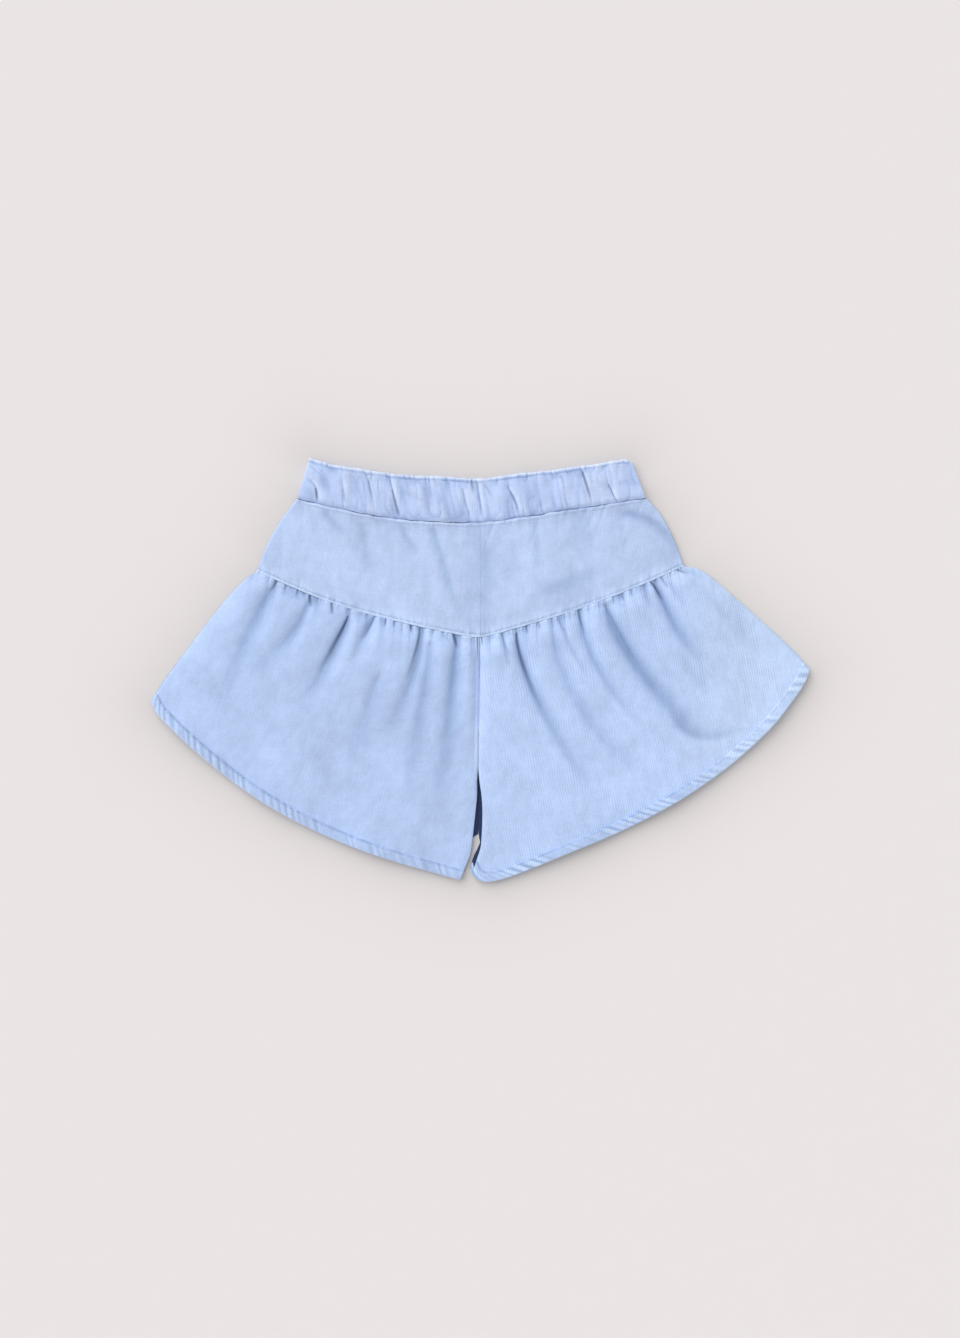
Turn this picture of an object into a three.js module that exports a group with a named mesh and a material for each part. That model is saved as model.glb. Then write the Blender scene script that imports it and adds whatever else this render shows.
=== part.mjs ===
// A child's pull-on denim shorts with a V-shaped yoke and gathered, flared legs, laid flat with the front up.
// X runs to the right of someone looking down at the front, Y towards the waist, and Z up off the surface.
// Left and right are that person's, too. All sizes are in millimetres.
import * as THREE from 'three';

// Cloth walls and the clearances between them
const CLOTH = 1.2;
const BAND = 2.6;
const HEM = 2.2;
const HEM_HEIGHT = 7;
const HEM_STEP = 1.2;
const SEAM_GAP = 0.3;
const LAYER_GAP = 0.3;

// How far the cloth stands up off what it lies on
const LEG_HOLLOW = 3.0;
const LEG_LIFT = 3.6;
const HEM_WAVE = 1.5;
const HEM_WAVE_COUNT = 3.3;
const YOKE_HOLLOW = 1.5;
const BAND_HOLLOW = 1.5;
const YOKE_SEAM_RISE = 1.7;
const GATHER_SEAM_RISE = 1.0;
const BAND_SEAM_RISE = 1.6;

// How far from an edge the cloth takes to reach its full height
const SIDE_ROLL = 16;
const CENTRE_ROLL = 9;
const BAND_ROLL = 7;
const CENTRE_PRESS = 0.35;
const SEAM_SLOPE = 14;

// How the gathers rise just below the yoke seam and fade towards the hem
const GATHER_PUFF = 9;
const PUFF_AT_SEAM = 0.35;
const PUFF_AT_HEM = 0.3;
const PUFF_FADE = { from: 38, to: 125 };
const LIFT_RISE = 16;
const LIFT_FADE = { from: 30, to: 96 };
const LIFT_PRESS = 0.85;
const SEAM_PRESS = 0.6;
const WAVE_GROWTH = { from: 50, to: 135 };

// Ripples of the cloth round the elastic, as turns for each millimetre along it, and their lowest share
const BAND_RIPPLE = { quick: 0.34, slow: 0.115, phase: 1, least: 0.45 };

// The back panels are this much smaller at the hem, so that the front covers them
const BACK_HEM_INSET = 1.2;
const BACK_HEM_HEIGHT = HEM_HEIGHT - 1.7;

const OUTLINE_POINT = ['x', 'y'];
const FOLD = ['x', 'y', 'midX', 'midY', 'endX', 'endY', 'depth', 'width', 'endWidth'];

// Outline of the garment as it lies, each edge from left to right or from the waist down
const WAIST_TOP = table(OUTLINE_POINT, [
  [-120.0, 148.4], [-105, 144.2], [-84, 140.7], [-56, 136.6], [-28, 135.4], [0, 133.9],
  [28, 137.6], [56, 140.7], [84, 144.6], [106.9, 147.2],
]);
const BAND_BOTTOM = table(OUTLINE_POINT, [
  [-128.3, 120.4], [-112, 115.9], [-84, 110.0], [-56, 105.6], [-28, 103.9], [0, 103.3],
  [28, 106.6], [56, 111.4], [84, 115.4], [116.0, 120.4],
]);
const YOKE_SEAM = table(OUTLINE_POINT, [
  [-157.0, 69.3], [-142, 62.3], [-112, 49.7], [-84, 40.6], [-56, 33.4], [-28, 27.2], [-9, 23.6], [0, 22.8],
  [9, 24.6], [28, 30.0], [56, 38.2], [84, 48.0], [112, 58.9], [128, 65.9], [142.6, 72.8],
]);
const YOKE_LEFT_SIDE = table(OUTLINE_POINT, [[-128.3, 120.4], [-139.8, 105], [-148.5, 90], [-157.0, 69.3]]);
const YOKE_RIGHT_SIDE = table(OUTLINE_POINT, [[116.0, 120.4], [125.5, 110], [134.4, 94], [142.6, 72.8]]);
const LEG_LEFT_SIDE = table(OUTLINE_POINT, [
  [-157.0, 69.3], [-165.9, 62.4], [-180.5, 46.5], [-202, 18.5], [-222, -8.5], [-230.6, -22.4],
]);
const LEG_RIGHT_SIDE = table(OUTLINE_POINT, [
  [142.6, 72.8], [153, 70.2], [163.1, 63.2], [179.2, 49.2], [203, 28], [222, 9.8], [230.6, -0.7],
]);
const HEM_LEFT = table(OUTLINE_POINT, [
  [-230.6, -22.4], [-227, -29.8], [-217, -40.6], [-203, -53.9], [-175, -77.2], [-147, -96.1], [-119, -111.3],
  [-91, -123.4], [-63, -133.2], [-35, -141.4], [-14.5, -147],
]);
const HEM_RIGHT = table(OUTLINE_POINT, [
  [230.6, -0.7], [227.6, -8], [217, -23.8], [203, -41.0], [175, -66.6], [147, -86.6], [119, -102.7],
  [91, -116.2], [63, -127.8], [35, -139.4], [15, -146.6], [4.5, -148.4], [-2.6, -146.4], [-5.2, -140.5],
]);
const INNER_LEFT = table(OUTLINE_POINT, [
  [-0.6, 22.8], [-1, -20], [-1.5, -55], [-1.6, -68], [-2.3, -78], [-2.3, -87],
  [-3.3, -98], [-4.4, -108.5], [-5.4, -117], [-7.4, -130], [-14.5, -147],
]);
const INNER_RIGHT = table(OUTLINE_POINT, [
  [-0.6, 22.8], [-1, -20], [-1.5, -55], [-1.5, -68], [-0.6, -78], [0.6, -86], [1.3, -95],
  [1.4, -104], [0.9, -115], [0.1, -124], [-2.2, -131.5], [-5.2, -140.5],
]);
const BACK_INNER_LEFT = table(OUTLINE_POINT, [
  [-1.5, 22.8], [-1.5, -60], [-1.6, -100], [-2.8, -117], [-8.2, -130], [-15.5, -146],
]);
const BACK_INNER_RIGHT = table(OUTLINE_POINT, [
  [-1.5, 22.8], [-1.5, -60], [-1.3, -105], [-1.6, -117], [-3.6, -129], [-7.4, -139.5],
]);

// Where each fold starts, passes and ends, how deep it presses (1 reaches the layer below) and its half width
const GATHERS_LEFT = table(FOLD, [
  [-142.8, 62.2, -160, 30, -188, -29, 0.75, 2.6, 10],
  [-136.5, 58.5, -137.4, 55, -138.2, 51, 0.5, 1.7, 2.2],
  [-128.2, 55.4, -128.6, 52, -129, 49, 0.45, 1.6, 2.2],
  [-119, 52.2, -134, 22, -164, -2, 0.65, 2.2, 9],
  [-104.4, 46.6, -104.2, 42, -103.8, 38, 0.55, 1.7, 2.4],
  [-92.6, 42.2, -101, 17, -127, -27, 0.95, 2.2, 7],
  [-74.2, 37.8, -81, 26, -90, 1, 0.8, 2.2, 5],
  [-66.2, 35.6, -67, 32, -67.6, 29, 0.55, 1.7, 2.2],
  [-60.6, 34.2, -61, 31, -61.2, 28.5, 0.45, 1.5, 2],
  [-48.3, 31.4, -48.4, 28, -48.4, 24, 0.6, 1.7, 2.4],
  [-41.3, 30.0, -48, -6, -67, -47, 0.85, 2.2, 7.5],
  [-32.9, 28.2, -33.2, 25, -33.4, 22, 0.5, 1.6, 2.2],
  [-36, 16, -40, -22, -55, -84, 0.6, 4, 8.5],
  [-28, 27, -24, 22, -19.6, 18.6, 0.5, 1.8, 2],
  [-17.6, 25.2, -15.6, -20, -25, -96, 0.8, 2.4, 9.5],
  [-73, -8, -82, -35, -95, -63, 0.4, 5, 7],
]);
const GATHERS_RIGHT = table(FOLD, [
  [15.2, 26.2, 17.6, 13, 21.4, 1, 0.5, 1.8, 2.4],
  [24.5, 28, 38.5, -20, 76, -83, 0.92, 2.4, 7.5],
  [31.8, 31.2, 32.2, 28, 32.6, 25, 0.45, 1.6, 2],
  [40.6, 33.8, 41, 30.5, 41.4, 27, 0.5, 1.7, 2.2],
  [50, 34, 67, -24, 108, -69, 0.5, 3.2, 8.5],
  [55.5, 38, 62.5, 17, 78, -9, 0.5, 1.9, 3.4],
  [68.4, 42.6, 83, 0, 114, -41, 0.78, 2.2, 5.5],
  [88, 44.5, 105.5, 8, 151, -46, 1.0, 3.4, 9.5],
  [139, -39, 158, -47, 183, -41, 0.65, 7.5, 5],
  [92.4, 51.4, 92.6, 48, 92.8, 44.5, 0.5, 1.7, 2.2],
  [98.2, 53.6, 98.8, 50.5, 99.4, 47, 0.5, 1.6, 2.2],
  [104, 55.8, 104.6, 53, 105.2, 50, 0.45, 1.6, 2],
  [113.6, 59.6, 116.2, 51, 119, 42, 0.45, 2, 3.4],
  [121.6, 63, 139, 25, 158, 3, 0.88, 2.4, 6.5],
  [127.6, 65.8, 135, 56.5, 145, 41, 0.5, 1.9, 3.4],
  [137.6, 70.4, 147, 68, 155, 62, 0.65, 2.4, 3.4],
  [147, -2, 154, -10, 162, -19, 0.35, 7, 7],
  [152, 58, 181, 29, 197, 9, 0.3, 6, 8],
]);
const BAND_CREASES = table(FOLD, [
  [-119, 142.8, -114.8, 139.3, -110.6, 135.8, 0.45, 1.7, 1.7],
  [-118.3, 132.3, -114.6, 126, -114.1, 117.6, 0.9, 2.0, 2.0],
  [-96.6, 131.6, -95.5, 125, -94.5, 116, 0.45, 2.2, 2.2],
  [-79.8, 135.8, -77, 126, -74.2, 111, 0.6, 2.2, 2.2],
  [-63, 133, -59.5, 119, -56, 106.6, 0.92, 2.2, 2.2],
  [-52.5, 124.6, -42, 120.4, -30.8, 114.8, 0.45, 2.4, 2.4],
  [-11.9, 126, -9.8, 115.5, -7, 106.4, 0.55, 2.0, 2.0],
  [-2.4, 132.5, -0.2, 119, 1.4, 105, 0.9, 2.2, 2.2],
  [19.6, 127.4, 24.5, 119, 27.3, 108.5, 0.85, 2.2, 2.2],
  [57.4, 126, 59, 120, 61, 113, 0.45, 2.0, 2.0],
  [70, 142, 74, 132, 77.5, 116, 0.92, 2.2, 2.2],
  [89.6, 129.5, 93.8, 121, 97, 117, 0.75, 2.0, 2.0],
  [98, 130.2, 105, 130.5, 112, 130.9, 0.4, 1.8, 1.8],
]);
const YOKE_CREASES = table(FOLD, [
  [-108.5, 110.6, -101.5, 101.5, -91, 94.5, 0.4, 4, 4],
  [-82.6, 103, -80.5, 84, -77, 66.5, 0.45, 7, 7],
  [-56, 101.5, -50.4, 91, -43.4, 80.5, 0.4, 4, 4],
  [-33.6, 98, -24.5, 70, -15.4, 38.5, 0.45, 4.5, 4.5],
  [38.5, 101.5, 39.5, 85, 40, 70, 0.3, 5, 5],
  [45.5, 56, 65, 63, 84, 70, 0.35, 8, 8],
  [96, 112, 122, 101.5, 141, 76, 0.7, 5.5, 5.5],
]);

// The back is gathered like the front, but it lies on the surface and its folds rise inwards
const BACK_GATHER = { count: 13, rise: 6, fadeFrom: 14, fadeTo: 78, drift: 0.35, driftTurns: 9 };
const BACK_PLAIN_LIFT = 0.78;
const BACK_GATHER_LIFT = 0.94;

// The grid under each wall
const ROW_EASE = 1.8;
const FINEST_STEP = 1.0;
const LEG_STEP = 5;
const BAND_STEP = 6.4;
const FOLD_SAMPLES = 14;
const FOLD_SIDE = 1.15;
const EDGE_MARKS = [0.012, 0.035, 0.97];
const STEEPEST_RIM = 0.75;
const BROAD_FOLD = 5;
const FOLD_FADE = 2.5;
const CORNER_REACH = 8;
const SEARCH_STEPS = 30;
const EDGE_DIVISIONS = 400;

// Rows of numbers with named columns, as objects
function table(columns, rows) {
  return rows.map((row) => Object.fromEntries(columns.map((name, at) => [name, row[at]])));
}

const { lerp, smoothstep, clamp } = THREE.MathUtils;

// A smooth edge through outline points, read by its share of length
function edge(points) {
  const knots = points.map((point) => new THREE.Vector3(point.x, point.y, 0));
  const curve = new THREE.CatmullRomCurve3(knots, false, 'centripetal');
  curve.arcLengthDivisions = EDGE_DIVISIONS;
  return (share) => curve.getPointAt(clamp(share, 0, 1));
}

// The stretch of an edge from one share of its length to another
function stretch(curve, from, to) {
  return (share) => curve(lerp(from, to, share));
}

// An edge moved sideways and up or down, by amounts that may change along it
function moved(curve, byX, byY) {
  return (share) => curve(share).clone().add(new THREE.Vector3(byX(share), byY(share), 0));
}

const none = () => 0;
const always = (value) => () => value;

// The share of length at which an edge that runs from left to right, or back, reaches x
function shareAtX(curve, x) {
  const leftToRight = curve(1).x > curve(0).x;
  let low = 0;
  let high = 1;
  for (let step = 0; step < SEARCH_STEPS; step += 1) {
    const middle = (low + high) / 2;
    const beyond = curve(middle).x > x;
    if (beyond === leftToRight) high = middle;
    else low = middle;
  }
  return (low + high) / 2;
}

// Each fold's centre line, as points along a bend through its start, middle and end
function drawn(folds) {
  return folds.map((fold) => {
    const start = new THREE.Vector2(fold.x, fold.y);
    const end = new THREE.Vector2(fold.endX, fold.endY);
    const middle = new THREE.Vector2(fold.midX, fold.midY);
    const pull = middle.multiplyScalar(2).sub(start.clone().add(end).multiplyScalar(0.5));
    const line = new THREE.QuadraticBezierCurve(start, pull, end).getPoints(FOLD_SAMPLES);
    return { ...fold, line };
  });
}

// How far a set of folds presses the cloth down at a point: 0 on the ridges, towards 1 in the deepest fold
function pressed(folds, x, y) {
  let open = 1;
  for (const fold of folds) {
    let nearest = Infinity;
    let along = 0;
    for (let piece = 0; piece < FOLD_SAMPLES; piece += 1) {
      const a = fold.line[piece];
      const b = fold.line[piece + 1];
      const lengthSquared = (b.x - a.x) ** 2 + (b.y - a.y) ** 2;
      const share = clamp(((x - a.x) * (b.x - a.x) + (y - a.y) * (b.y - a.y)) / lengthSquared, 0, 1);
      const away = Math.hypot(x - lerp(a.x, b.x, share), y - lerp(a.y, b.y, share));
      if (away < nearest) {
        nearest = away;
        along = (piece + share) / FOLD_SAMPLES;
      }
    }
    const width = lerp(fold.width, fold.endWidth, along);
    const fade = 1 - along ** FOLD_FADE;
    open *= 1 - fold.depth * fade * Math.exp(-((nearest / width) ** 2));
  }
  return 1 - open;
}

// A closed cloth wall over four edges: top and bottom run from outer to inner, and outer and inner run down.
// The middle of the wall is at height(place), and its thickness is wall(place). The rim stands straight up, so
// that the outline stays true.
function clothWall({ top, bottom, outer, inner, columns, rows, height, wall }) {
  const corner = { a: top(0), b: top(1), c: bottom(0), d: bottom(1) };
  const at = (u, v) => {
    const down = top(u).clone().multiplyScalar(1 - v).add(bottom(u).clone().multiplyScalar(v));
    const across = outer(v).clone().multiplyScalar(1 - u).add(inner(v).clone().multiplyScalar(u));
    const corners = corner.a.clone().multiplyScalar((1 - u) * (1 - v))
      .add(corner.b.clone().multiplyScalar(u * (1 - v)))
      .add(corner.c.clone().multiplyScalar((1 - u) * v))
      .add(corner.d.clone().multiplyScalar(u * v));
    return down.add(across).sub(corners);
  };
  const across = columns.length;
  const downs = rows(1).length;
  const middle = [];
  const thickness = [];
  for (const u of columns) {
    const length = at(u, 0).distanceTo(at(u, 1));
    for (const v of rows(length)) {
      const spot = at(u, v);
      const place = {
        x: spot.x,
        y: spot.y,
        fromTop: spot.distanceTo(at(u, 0)),
        fromBottom: spot.distanceTo(at(u, 1)),
        fromOuter: spot.distanceTo(at(0, v)),
        fromInner: spot.distanceTo(at(1, v)),
      };
      middle.push(new THREE.Vector3(spot.x, spot.y, height(place)));
      thickness.push(wall(place));
    }
  }
  const grid = (i, j) => middle[clamp(i, 0, across - 1) * downs + clamp(j, 0, downs - 1)];
  const upper = [];
  const lower = [];
  for (let i = 0; i < across; i += 1) {
    for (let j = 0; j < downs; j += 1) {
      const alongU = grid(i + 1, j).clone().sub(grid(i - 1, j));
      const alongV = grid(i, j + 1).clone().sub(grid(i, j - 1));
      const normal = alongU.cross(alongV).normalize();
      if (normal.z < 0) normal.negate();
      const onRim = i === 0 || j === 0 || i === across - 1 || j === downs - 1;
      if (onRim) normal.set(0, 0, 1 / Math.max(normal.z, STEEPEST_RIM));
      const half = thickness[i * downs + j] / 2;
      upper.push(grid(i, j).clone().addScaledVector(normal, half));
      lower.push(grid(i, j).clone().addScaledVector(normal, -half));
    }
  }
  return closedSheet(upper, lower, across, downs);
}

// The closed skin over an upper and a lower grid of points and the rim between them
function closedSheet(upper, lower, across, downs) {
  const positions = [...upper, ...lower].flatMap((p) => [p.x, p.y, p.z]);
  const under = upper.length;
  const index = (i, j) => i * downs + j;
  const acrossStep = upper[index(1, 0)].clone().sub(upper[0]);
  const downStep = upper[1].clone().sub(upper[0]);
  const facesUp = acrossStep.cross(downStep).z > 0;
  const faces = [];
  const quad = (a, b, c, d) => faces.push(...(facesUp ? [a, b, c, a, c, d] : [a, c, b, a, d, c]));
  for (let i = 0; i < across - 1; i += 1) {
    for (let j = 0; j < downs - 1; j += 1) {
      const [a, b, c, d] = [index(i, j), index(i + 1, j), index(i + 1, j + 1), index(i, j + 1)];
      quad(a, b, c, d);
      quad(d + under, c + under, b + under, a + under);
    }
    const [first, next] = [index(i, 0), index(i + 1, 0)];
    const [last, lastNext] = [index(i, downs - 1), index(i + 1, downs - 1)];
    quad(first + under, next + under, next, first);
    quad(last, lastNext, lastNext + under, last + under);
  }
  for (let j = 0; j < downs - 1; j += 1) {
    const [first, next] = [index(0, j), index(0, j + 1)];
    const [last, lastNext] = [index(across - 1, j), index(across - 1, j + 1)];
    quad(first, next, next + under, first + under);
    quad(last + under, lastNext + under, lastNext, last);
  }
  const geometry = new THREE.BufferGeometry();
  geometry.setAttribute('position', new THREE.Float32BufferAttribute(positions, 3));
  geometry.setIndex(faces);
  geometry.computeVertexNormals();
  return geometry;
}

// Evenly spaced shares from 0 to 1
function even(count) {
  return Array.from({ length: count + 1 }, (_, at) => at / count);
}

// Columns across a panel: one in each fold and one on each side of it, with no gap wider than the widest step
function columnsThrough(folds, seam, widest) {
  const length = seam(0).distanceTo(seam(1));
  const marks = [...EDGE_MARKS];
  for (const fold of folds) {
    const share = shareAtX(seam, fold.x);
    const side = (fold.width * FOLD_SIDE) / length;
    marks.push(share - side, share, share + side);
  }
  const finest = FINEST_STEP / length;
  const sorted = marks.filter((mark) => mark > finest && mark < 1 - finest).sort((a, b) => a - b);
  const kept = [0];
  for (const mark of [...sorted, 1]) {
    if (mark - kept.at(-1) > finest) kept.push(mark);
  }
  return kept.flatMap((mark, at) => {
    if (at === kept.length - 1) return [mark];
    const gap = kept[at + 1] - mark;
    const parts = Math.max(1, Math.ceil((gap * length) / widest));
    return even(parts).slice(0, -1).map((share) => mark + gap * share);
  });
}

// Rows down a leg: close together under the gathers, then two that make the hem's step
function legRows(count, hemHeight) {
  return (length) => {
    const body = 1 - (hemHeight + HEM_STEP) / length;
    const upperRows = even(count).map((share) => body * share ** ROW_EASE);
    return [...upperRows, 1 - hemHeight / length, 1];
  };
}

const evenRows = (count) => () => even(count);

// 0 at an edge, 1 once the distance from it passes the roll, rounded like a fold's shoulder
function shoulder(distance, roll) {
  return 1 - (1 - clamp(distance / roll, 0, 1)) ** 2;
}

// How strongly the cloth stands up below the yoke seam
function gatherPuff(fromSeam) {
  const rise = smoothstep(fromSeam, 0, GATHER_PUFF);
  const fade = smoothstep(fromSeam, PUFF_FADE.from, PUFF_FADE.to);
  return lerp(PUFF_AT_SEAM, 1, rise) * lerp(1, PUFF_AT_HEM, fade);
}

// The folds broad enough to press both layers of a leg, at the width that the back layer can follow
function broadOnly(folds) {
  const broad = folds.filter((fold) => fold.endWidth >= BROAD_FOLD);
  const eased = (fold) => ({ width: Math.max(fold.width, BROAD_FOLD), endWidth: fold.endWidth + 1 });
  return broad.map((fold) => ({ ...fold, ...eased(fold) }));
}

// The lift that both leg layers share, nested in each other, away from the sides and the deepest folds
function sharedLift(place, folds) {
  const inside = shoulder(place.fromOuter, SIDE_ROLL) * shoulder(place.fromInner, CENTRE_ROLL);
  const rise = smoothstep(place.fromTop, 0, LIFT_RISE);
  const fade = 1 - smoothstep(place.fromTop, LIFT_FADE.from, LIFT_FADE.to);
  return LEG_LIFT * inside * rise * fade * (1 - LIFT_PRESS * pressed(folds, place.x, place.y));
}

const hemWall = (hemHeight) => (place) => (place.fromBottom <= hemHeight + 0.01 ? HEM : CLOTH);

const seamHalf = SEAM_GAP / 2;

// The garment's edges, shared by the pieces on both sides of each seam
const waistTop = edge(WAIST_TOP);
const bandBottom = edge(BAND_BOTTOM);
const yokeSeam = edge(YOKE_SEAM);
const bandCentre = shareAtX(bandBottom, 0);
const seamCentre = shareAtX(yokeSeam, 0);

const SIDES = {
  left: {
    sign: -1,
    yokeSide: edge(YOKE_LEFT_SIDE),
    legSide: edge(LEG_LEFT_SIDE),
    hem: edge(HEM_LEFT),
    inner: edge(INNER_LEFT),
    backInner: edge(BACK_INNER_LEFT),
    gathers: drawn(GATHERS_LEFT),
    broadFolds: broadOnly(drawn(GATHERS_LEFT)),
    outerShare: 0,
  },
  right: {
    sign: 1,
    yokeSide: edge(YOKE_RIGHT_SIDE),
    legSide: edge(LEG_RIGHT_SIDE),
    hem: edge(HEM_RIGHT),
    inner: edge(INNER_RIGHT),
    backInner: edge(BACK_INNER_RIGHT),
    gathers: drawn(GATHERS_RIGHT),
    broadFolds: broadOnly(drawn(GATHERS_RIGHT)),
    outerShare: 1,
  },
};

const bandFolds = drawn(BAND_CREASES);
const yokeFolds = drawn(YOKE_CREASES);

// Denim colours: the washed outside and the darker band
const denim = (name, colour) => {
  const material = new THREE.MeshStandardMaterial({ color: colour, roughness: 0.92, metalness: 0 });
  material.name = name;
  return material;
};
const washed = denim('washed denim', 0xbdd0f2);
const gathered = denim('gathered denim', 0xb8cef3);
const elastic = denim('denim round the elastic', 0xb0c3e9);

// A named sub-part
function piece(name, geometry, material) {
  const mesh = new THREE.Mesh(geometry, material);
  mesh.name = name;
  return mesh;
}

// The waistband's front or back half, from its folded top edge to the seam with the yoke
function waistband(name, { columns, rows, height, inset }) {
  const bottom = moved(bandBottom, none, always(seamHalf));
  const top = moved(waistTop, none, always(-inset));
  const ends = [0, 1].map((end) => (share) => top(end).clone().lerp(bottom(end), share));
  const geometry = clothWall({
    top,
    bottom,
    outer: ends[0],
    inner: ends[1],
    columns,
    rows: evenRows(rows),
    height,
    wall: always(BAND),
  });
  return piece(name, geometry, elastic);
}

// One of the four yoke panels, from the waistband down to the V-shaped seam
function yoke(name, side, { columns, rows, height }) {
  const { sign, yokeSide, outerShare } = side;
  const centreGap = (share) => sign * seamHalf * share;
  const top = moved(stretch(bandBottom, outerShare, bandCentre), centreGap, always(-seamHalf));
  const bottom = moved(stretch(yokeSeam, outerShare, seamCentre), centreGap, always(seamHalf));
  const outer = moved(yokeSide, none, (share) => lerp(-seamHalf, seamHalf, share));
  const inner = (share) => top(1).clone().lerp(bottom(1), share);
  const geometry = clothWall({
    top, bottom, outer, inner, columns: even(columns), rows: evenRows(rows), height, wall: always(CLOTH),
  });
  return piece(name, geometry, washed);
}

// One of the four leg panels, from the V-shaped seam down to the turned hem
function leg(name, side, { inner, columns, rows, height, inset, hemHeight }) {
  const { sign, legSide, hem, outerShare } = side;
  const seam = stretch(yokeSeam, outerShare, seamCentre);
  const toInner = inner(0).sub(seam(1));
  const hemToInner = inner(1).sub(hem(1));
  const nearCorner = (share) => share ** CORNER_REACH;
  const top = moved(seam, (share) => (toInner.x + sign * seamHalf) * nearCorner(share), always(-seamHalf));
  const bottom = moved(
    hem,
    (share) => (hemToInner.x + sign * seamHalf) * nearCorner(share),
    (share) => lerp(inset, hemToInner.y, nearCorner(share)),
  );
  const outer = moved(legSide, none, (share) => lerp(-seamHalf, inset, share));
  const inward = moved(inner, always(sign * seamHalf), (share) => (-seamHalf - toInner.y) * (1 - share));
  const geometry = clothWall({
    top,
    bottom,
    outer,
    inner: inward,
    columns: columns(top),
    rows: legRows(rows, hemHeight),
    height,
    wall: hemWall(hemHeight),
  });
  return piece(name, geometry, gathered);
}

// The middle of the front waistband's wall, over the back one
function frontBandHeight(place) {
  const rest = BAND * 1.5 + LAYER_GAP;
  const ends = shoulder(Math.min(place.fromOuter, place.fromInner), BAND_ROLL);
  const { quick, slow, phase, least } = BAND_RIPPLE;
  const ripple = 0.5 + 0.5 * Math.sin(place.x * quick) * Math.cos(place.x * slow + phase);
  return rest + BAND_HOLLOW * ends * lerp(least, 1, ripple) * (1 - pressed(bandFolds, place.x, place.y));
}

// The middle of a front yoke's wall, which rises to the waistband and to the seam allowance above the gathers
function frontYokeHeight(place) {
  const rest = CLOTH * 1.5 + LAYER_GAP;
  const inside = shoulder(place.fromOuter, SIDE_ROLL);
  const toBand = 1 - smoothstep(place.fromTop, 0, SEAM_SLOPE);
  const toLeg = 1 - smoothstep(place.fromBottom, 0, SEAM_SLOPE);
  const crowned = YOKE_HOLLOW * (1 - pressed(yokeFolds, place.x, place.y));
  const atSeam = Math.max(BAND_SEAM_RISE * toBand, YOKE_SEAM_RISE * toLeg);
  const level = lerp(crowned, atSeam, Math.max(toBand, toLeg));
  return rest + level * lerp(inside, 1, CENTRE_PRESS * toBand);
}

// The flare's low waves, which grow towards the hem
function hemWaves(place) {
  const share = place.fromOuter / Math.max(place.fromOuter + place.fromInner, 1);
  const wave = 0.5 - 0.5 * Math.cos(2 * Math.PI * HEM_WAVE_COUNT * share);
  return HEM_WAVE * wave * smoothstep(place.fromTop, WAVE_GROWTH.from, WAVE_GROWTH.to);
}

// The middle of a front leg's wall, puffed between its gathers
const frontLegHeight = (side) => (place) => {
  const wall = hemWall(HEM_HEIGHT)(place);
  const rest = wall * 1.5 + LAYER_GAP;
  const fromCentre = lerp(CENTRE_PRESS, 1, shoulder(place.fromInner, CENTRE_ROLL));
  const inside = shoulder(place.fromOuter, SIDE_ROLL) * fromCentre;
  const fold = pressed(side.gathers, place.x, place.y);
  const atSeam = 1 - smoothstep(place.fromTop, 0, GATHER_PUFF);
  const puff = LEG_HOLLOW * gatherPuff(place.fromTop) * (1 - fold);
  const level = lerp(puff, GATHER_SEAM_RISE * (1 - SEAM_PRESS * fold), atSeam) + hemWaves(place);
  return rest + inside * level + sharedLift(place, side.broadFolds);
};

// The back's own small gathers, from 0 to 1, evenly but not quite regularly spaced along its seam
function backGather(place) {
  const share = place.fromOuter / Math.max(place.fromOuter + place.fromInner, 1);
  const { count, rise, fadeFrom, fadeTo, drift, driftTurns } = BACK_GATHER;
  const wave = Math.cos(2 * Math.PI * (count * share + drift * Math.sin(driftTurns * share)));
  const fade = smoothstep(place.fromTop, 0, rise) * (1 - smoothstep(place.fromTop, fadeFrom, fadeTo));
  return fade * clamp(wave, 0, 1) ** 2;
}

// The middle of a back leg's wall, flat on the surface but under the gathers
const backLegHeight = (side) => (place) => {
  const lift = sharedLift(place, side.broadFolds);
  const gathered = BACK_PLAIN_LIFT + (BACK_GATHER_LIFT - BACK_PLAIN_LIFT) * backGather(place);
  return hemWall(BACK_HEM_HEIGHT)(place) / 2 + lift * gathered;
};

const shorts = new THREE.Group();
shorts.name = 'denim_shorts';

shorts.add(waistband('waistband_front', {
  columns: columnsThrough(bandFolds, waistTop, BAND_STEP), rows: 5, height: frontBandHeight, inset: 0,
}));
shorts.add(waistband('waistband_back', { columns: even(24), rows: 2, height: always(BAND / 2), inset: 0.6 }));

for (const [hand, side] of Object.entries(SIDES)) {
  shorts.add(yoke(`yoke_front_${hand}`, side, { columns: 15, rows: 9, height: frontYokeHeight }));
  shorts.add(yoke(`yoke_back_${hand}`, side, { columns: 8, rows: 5, height: always(CLOTH / 2) }));
  shorts.add(leg(`leg_front_${hand}`, side, {
    inner: side.inner,
    columns: (seam) => columnsThrough(side.gathers, seam, LEG_STEP),
    rows: 12,
    height: frontLegHeight(side),
    inset: 0,
    hemHeight: HEM_HEIGHT,
  }));
  shorts.add(leg(`leg_back_${hand}`, side, {
    inner: side.backInner,
    columns: () => even(32),
    rows: 9,
    height: backLegHeight(side),
    inset: BACK_HEM_INSET,
    hemHeight: BACK_HEM_HEIGHT,
  }));
}

export default shorts;
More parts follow.
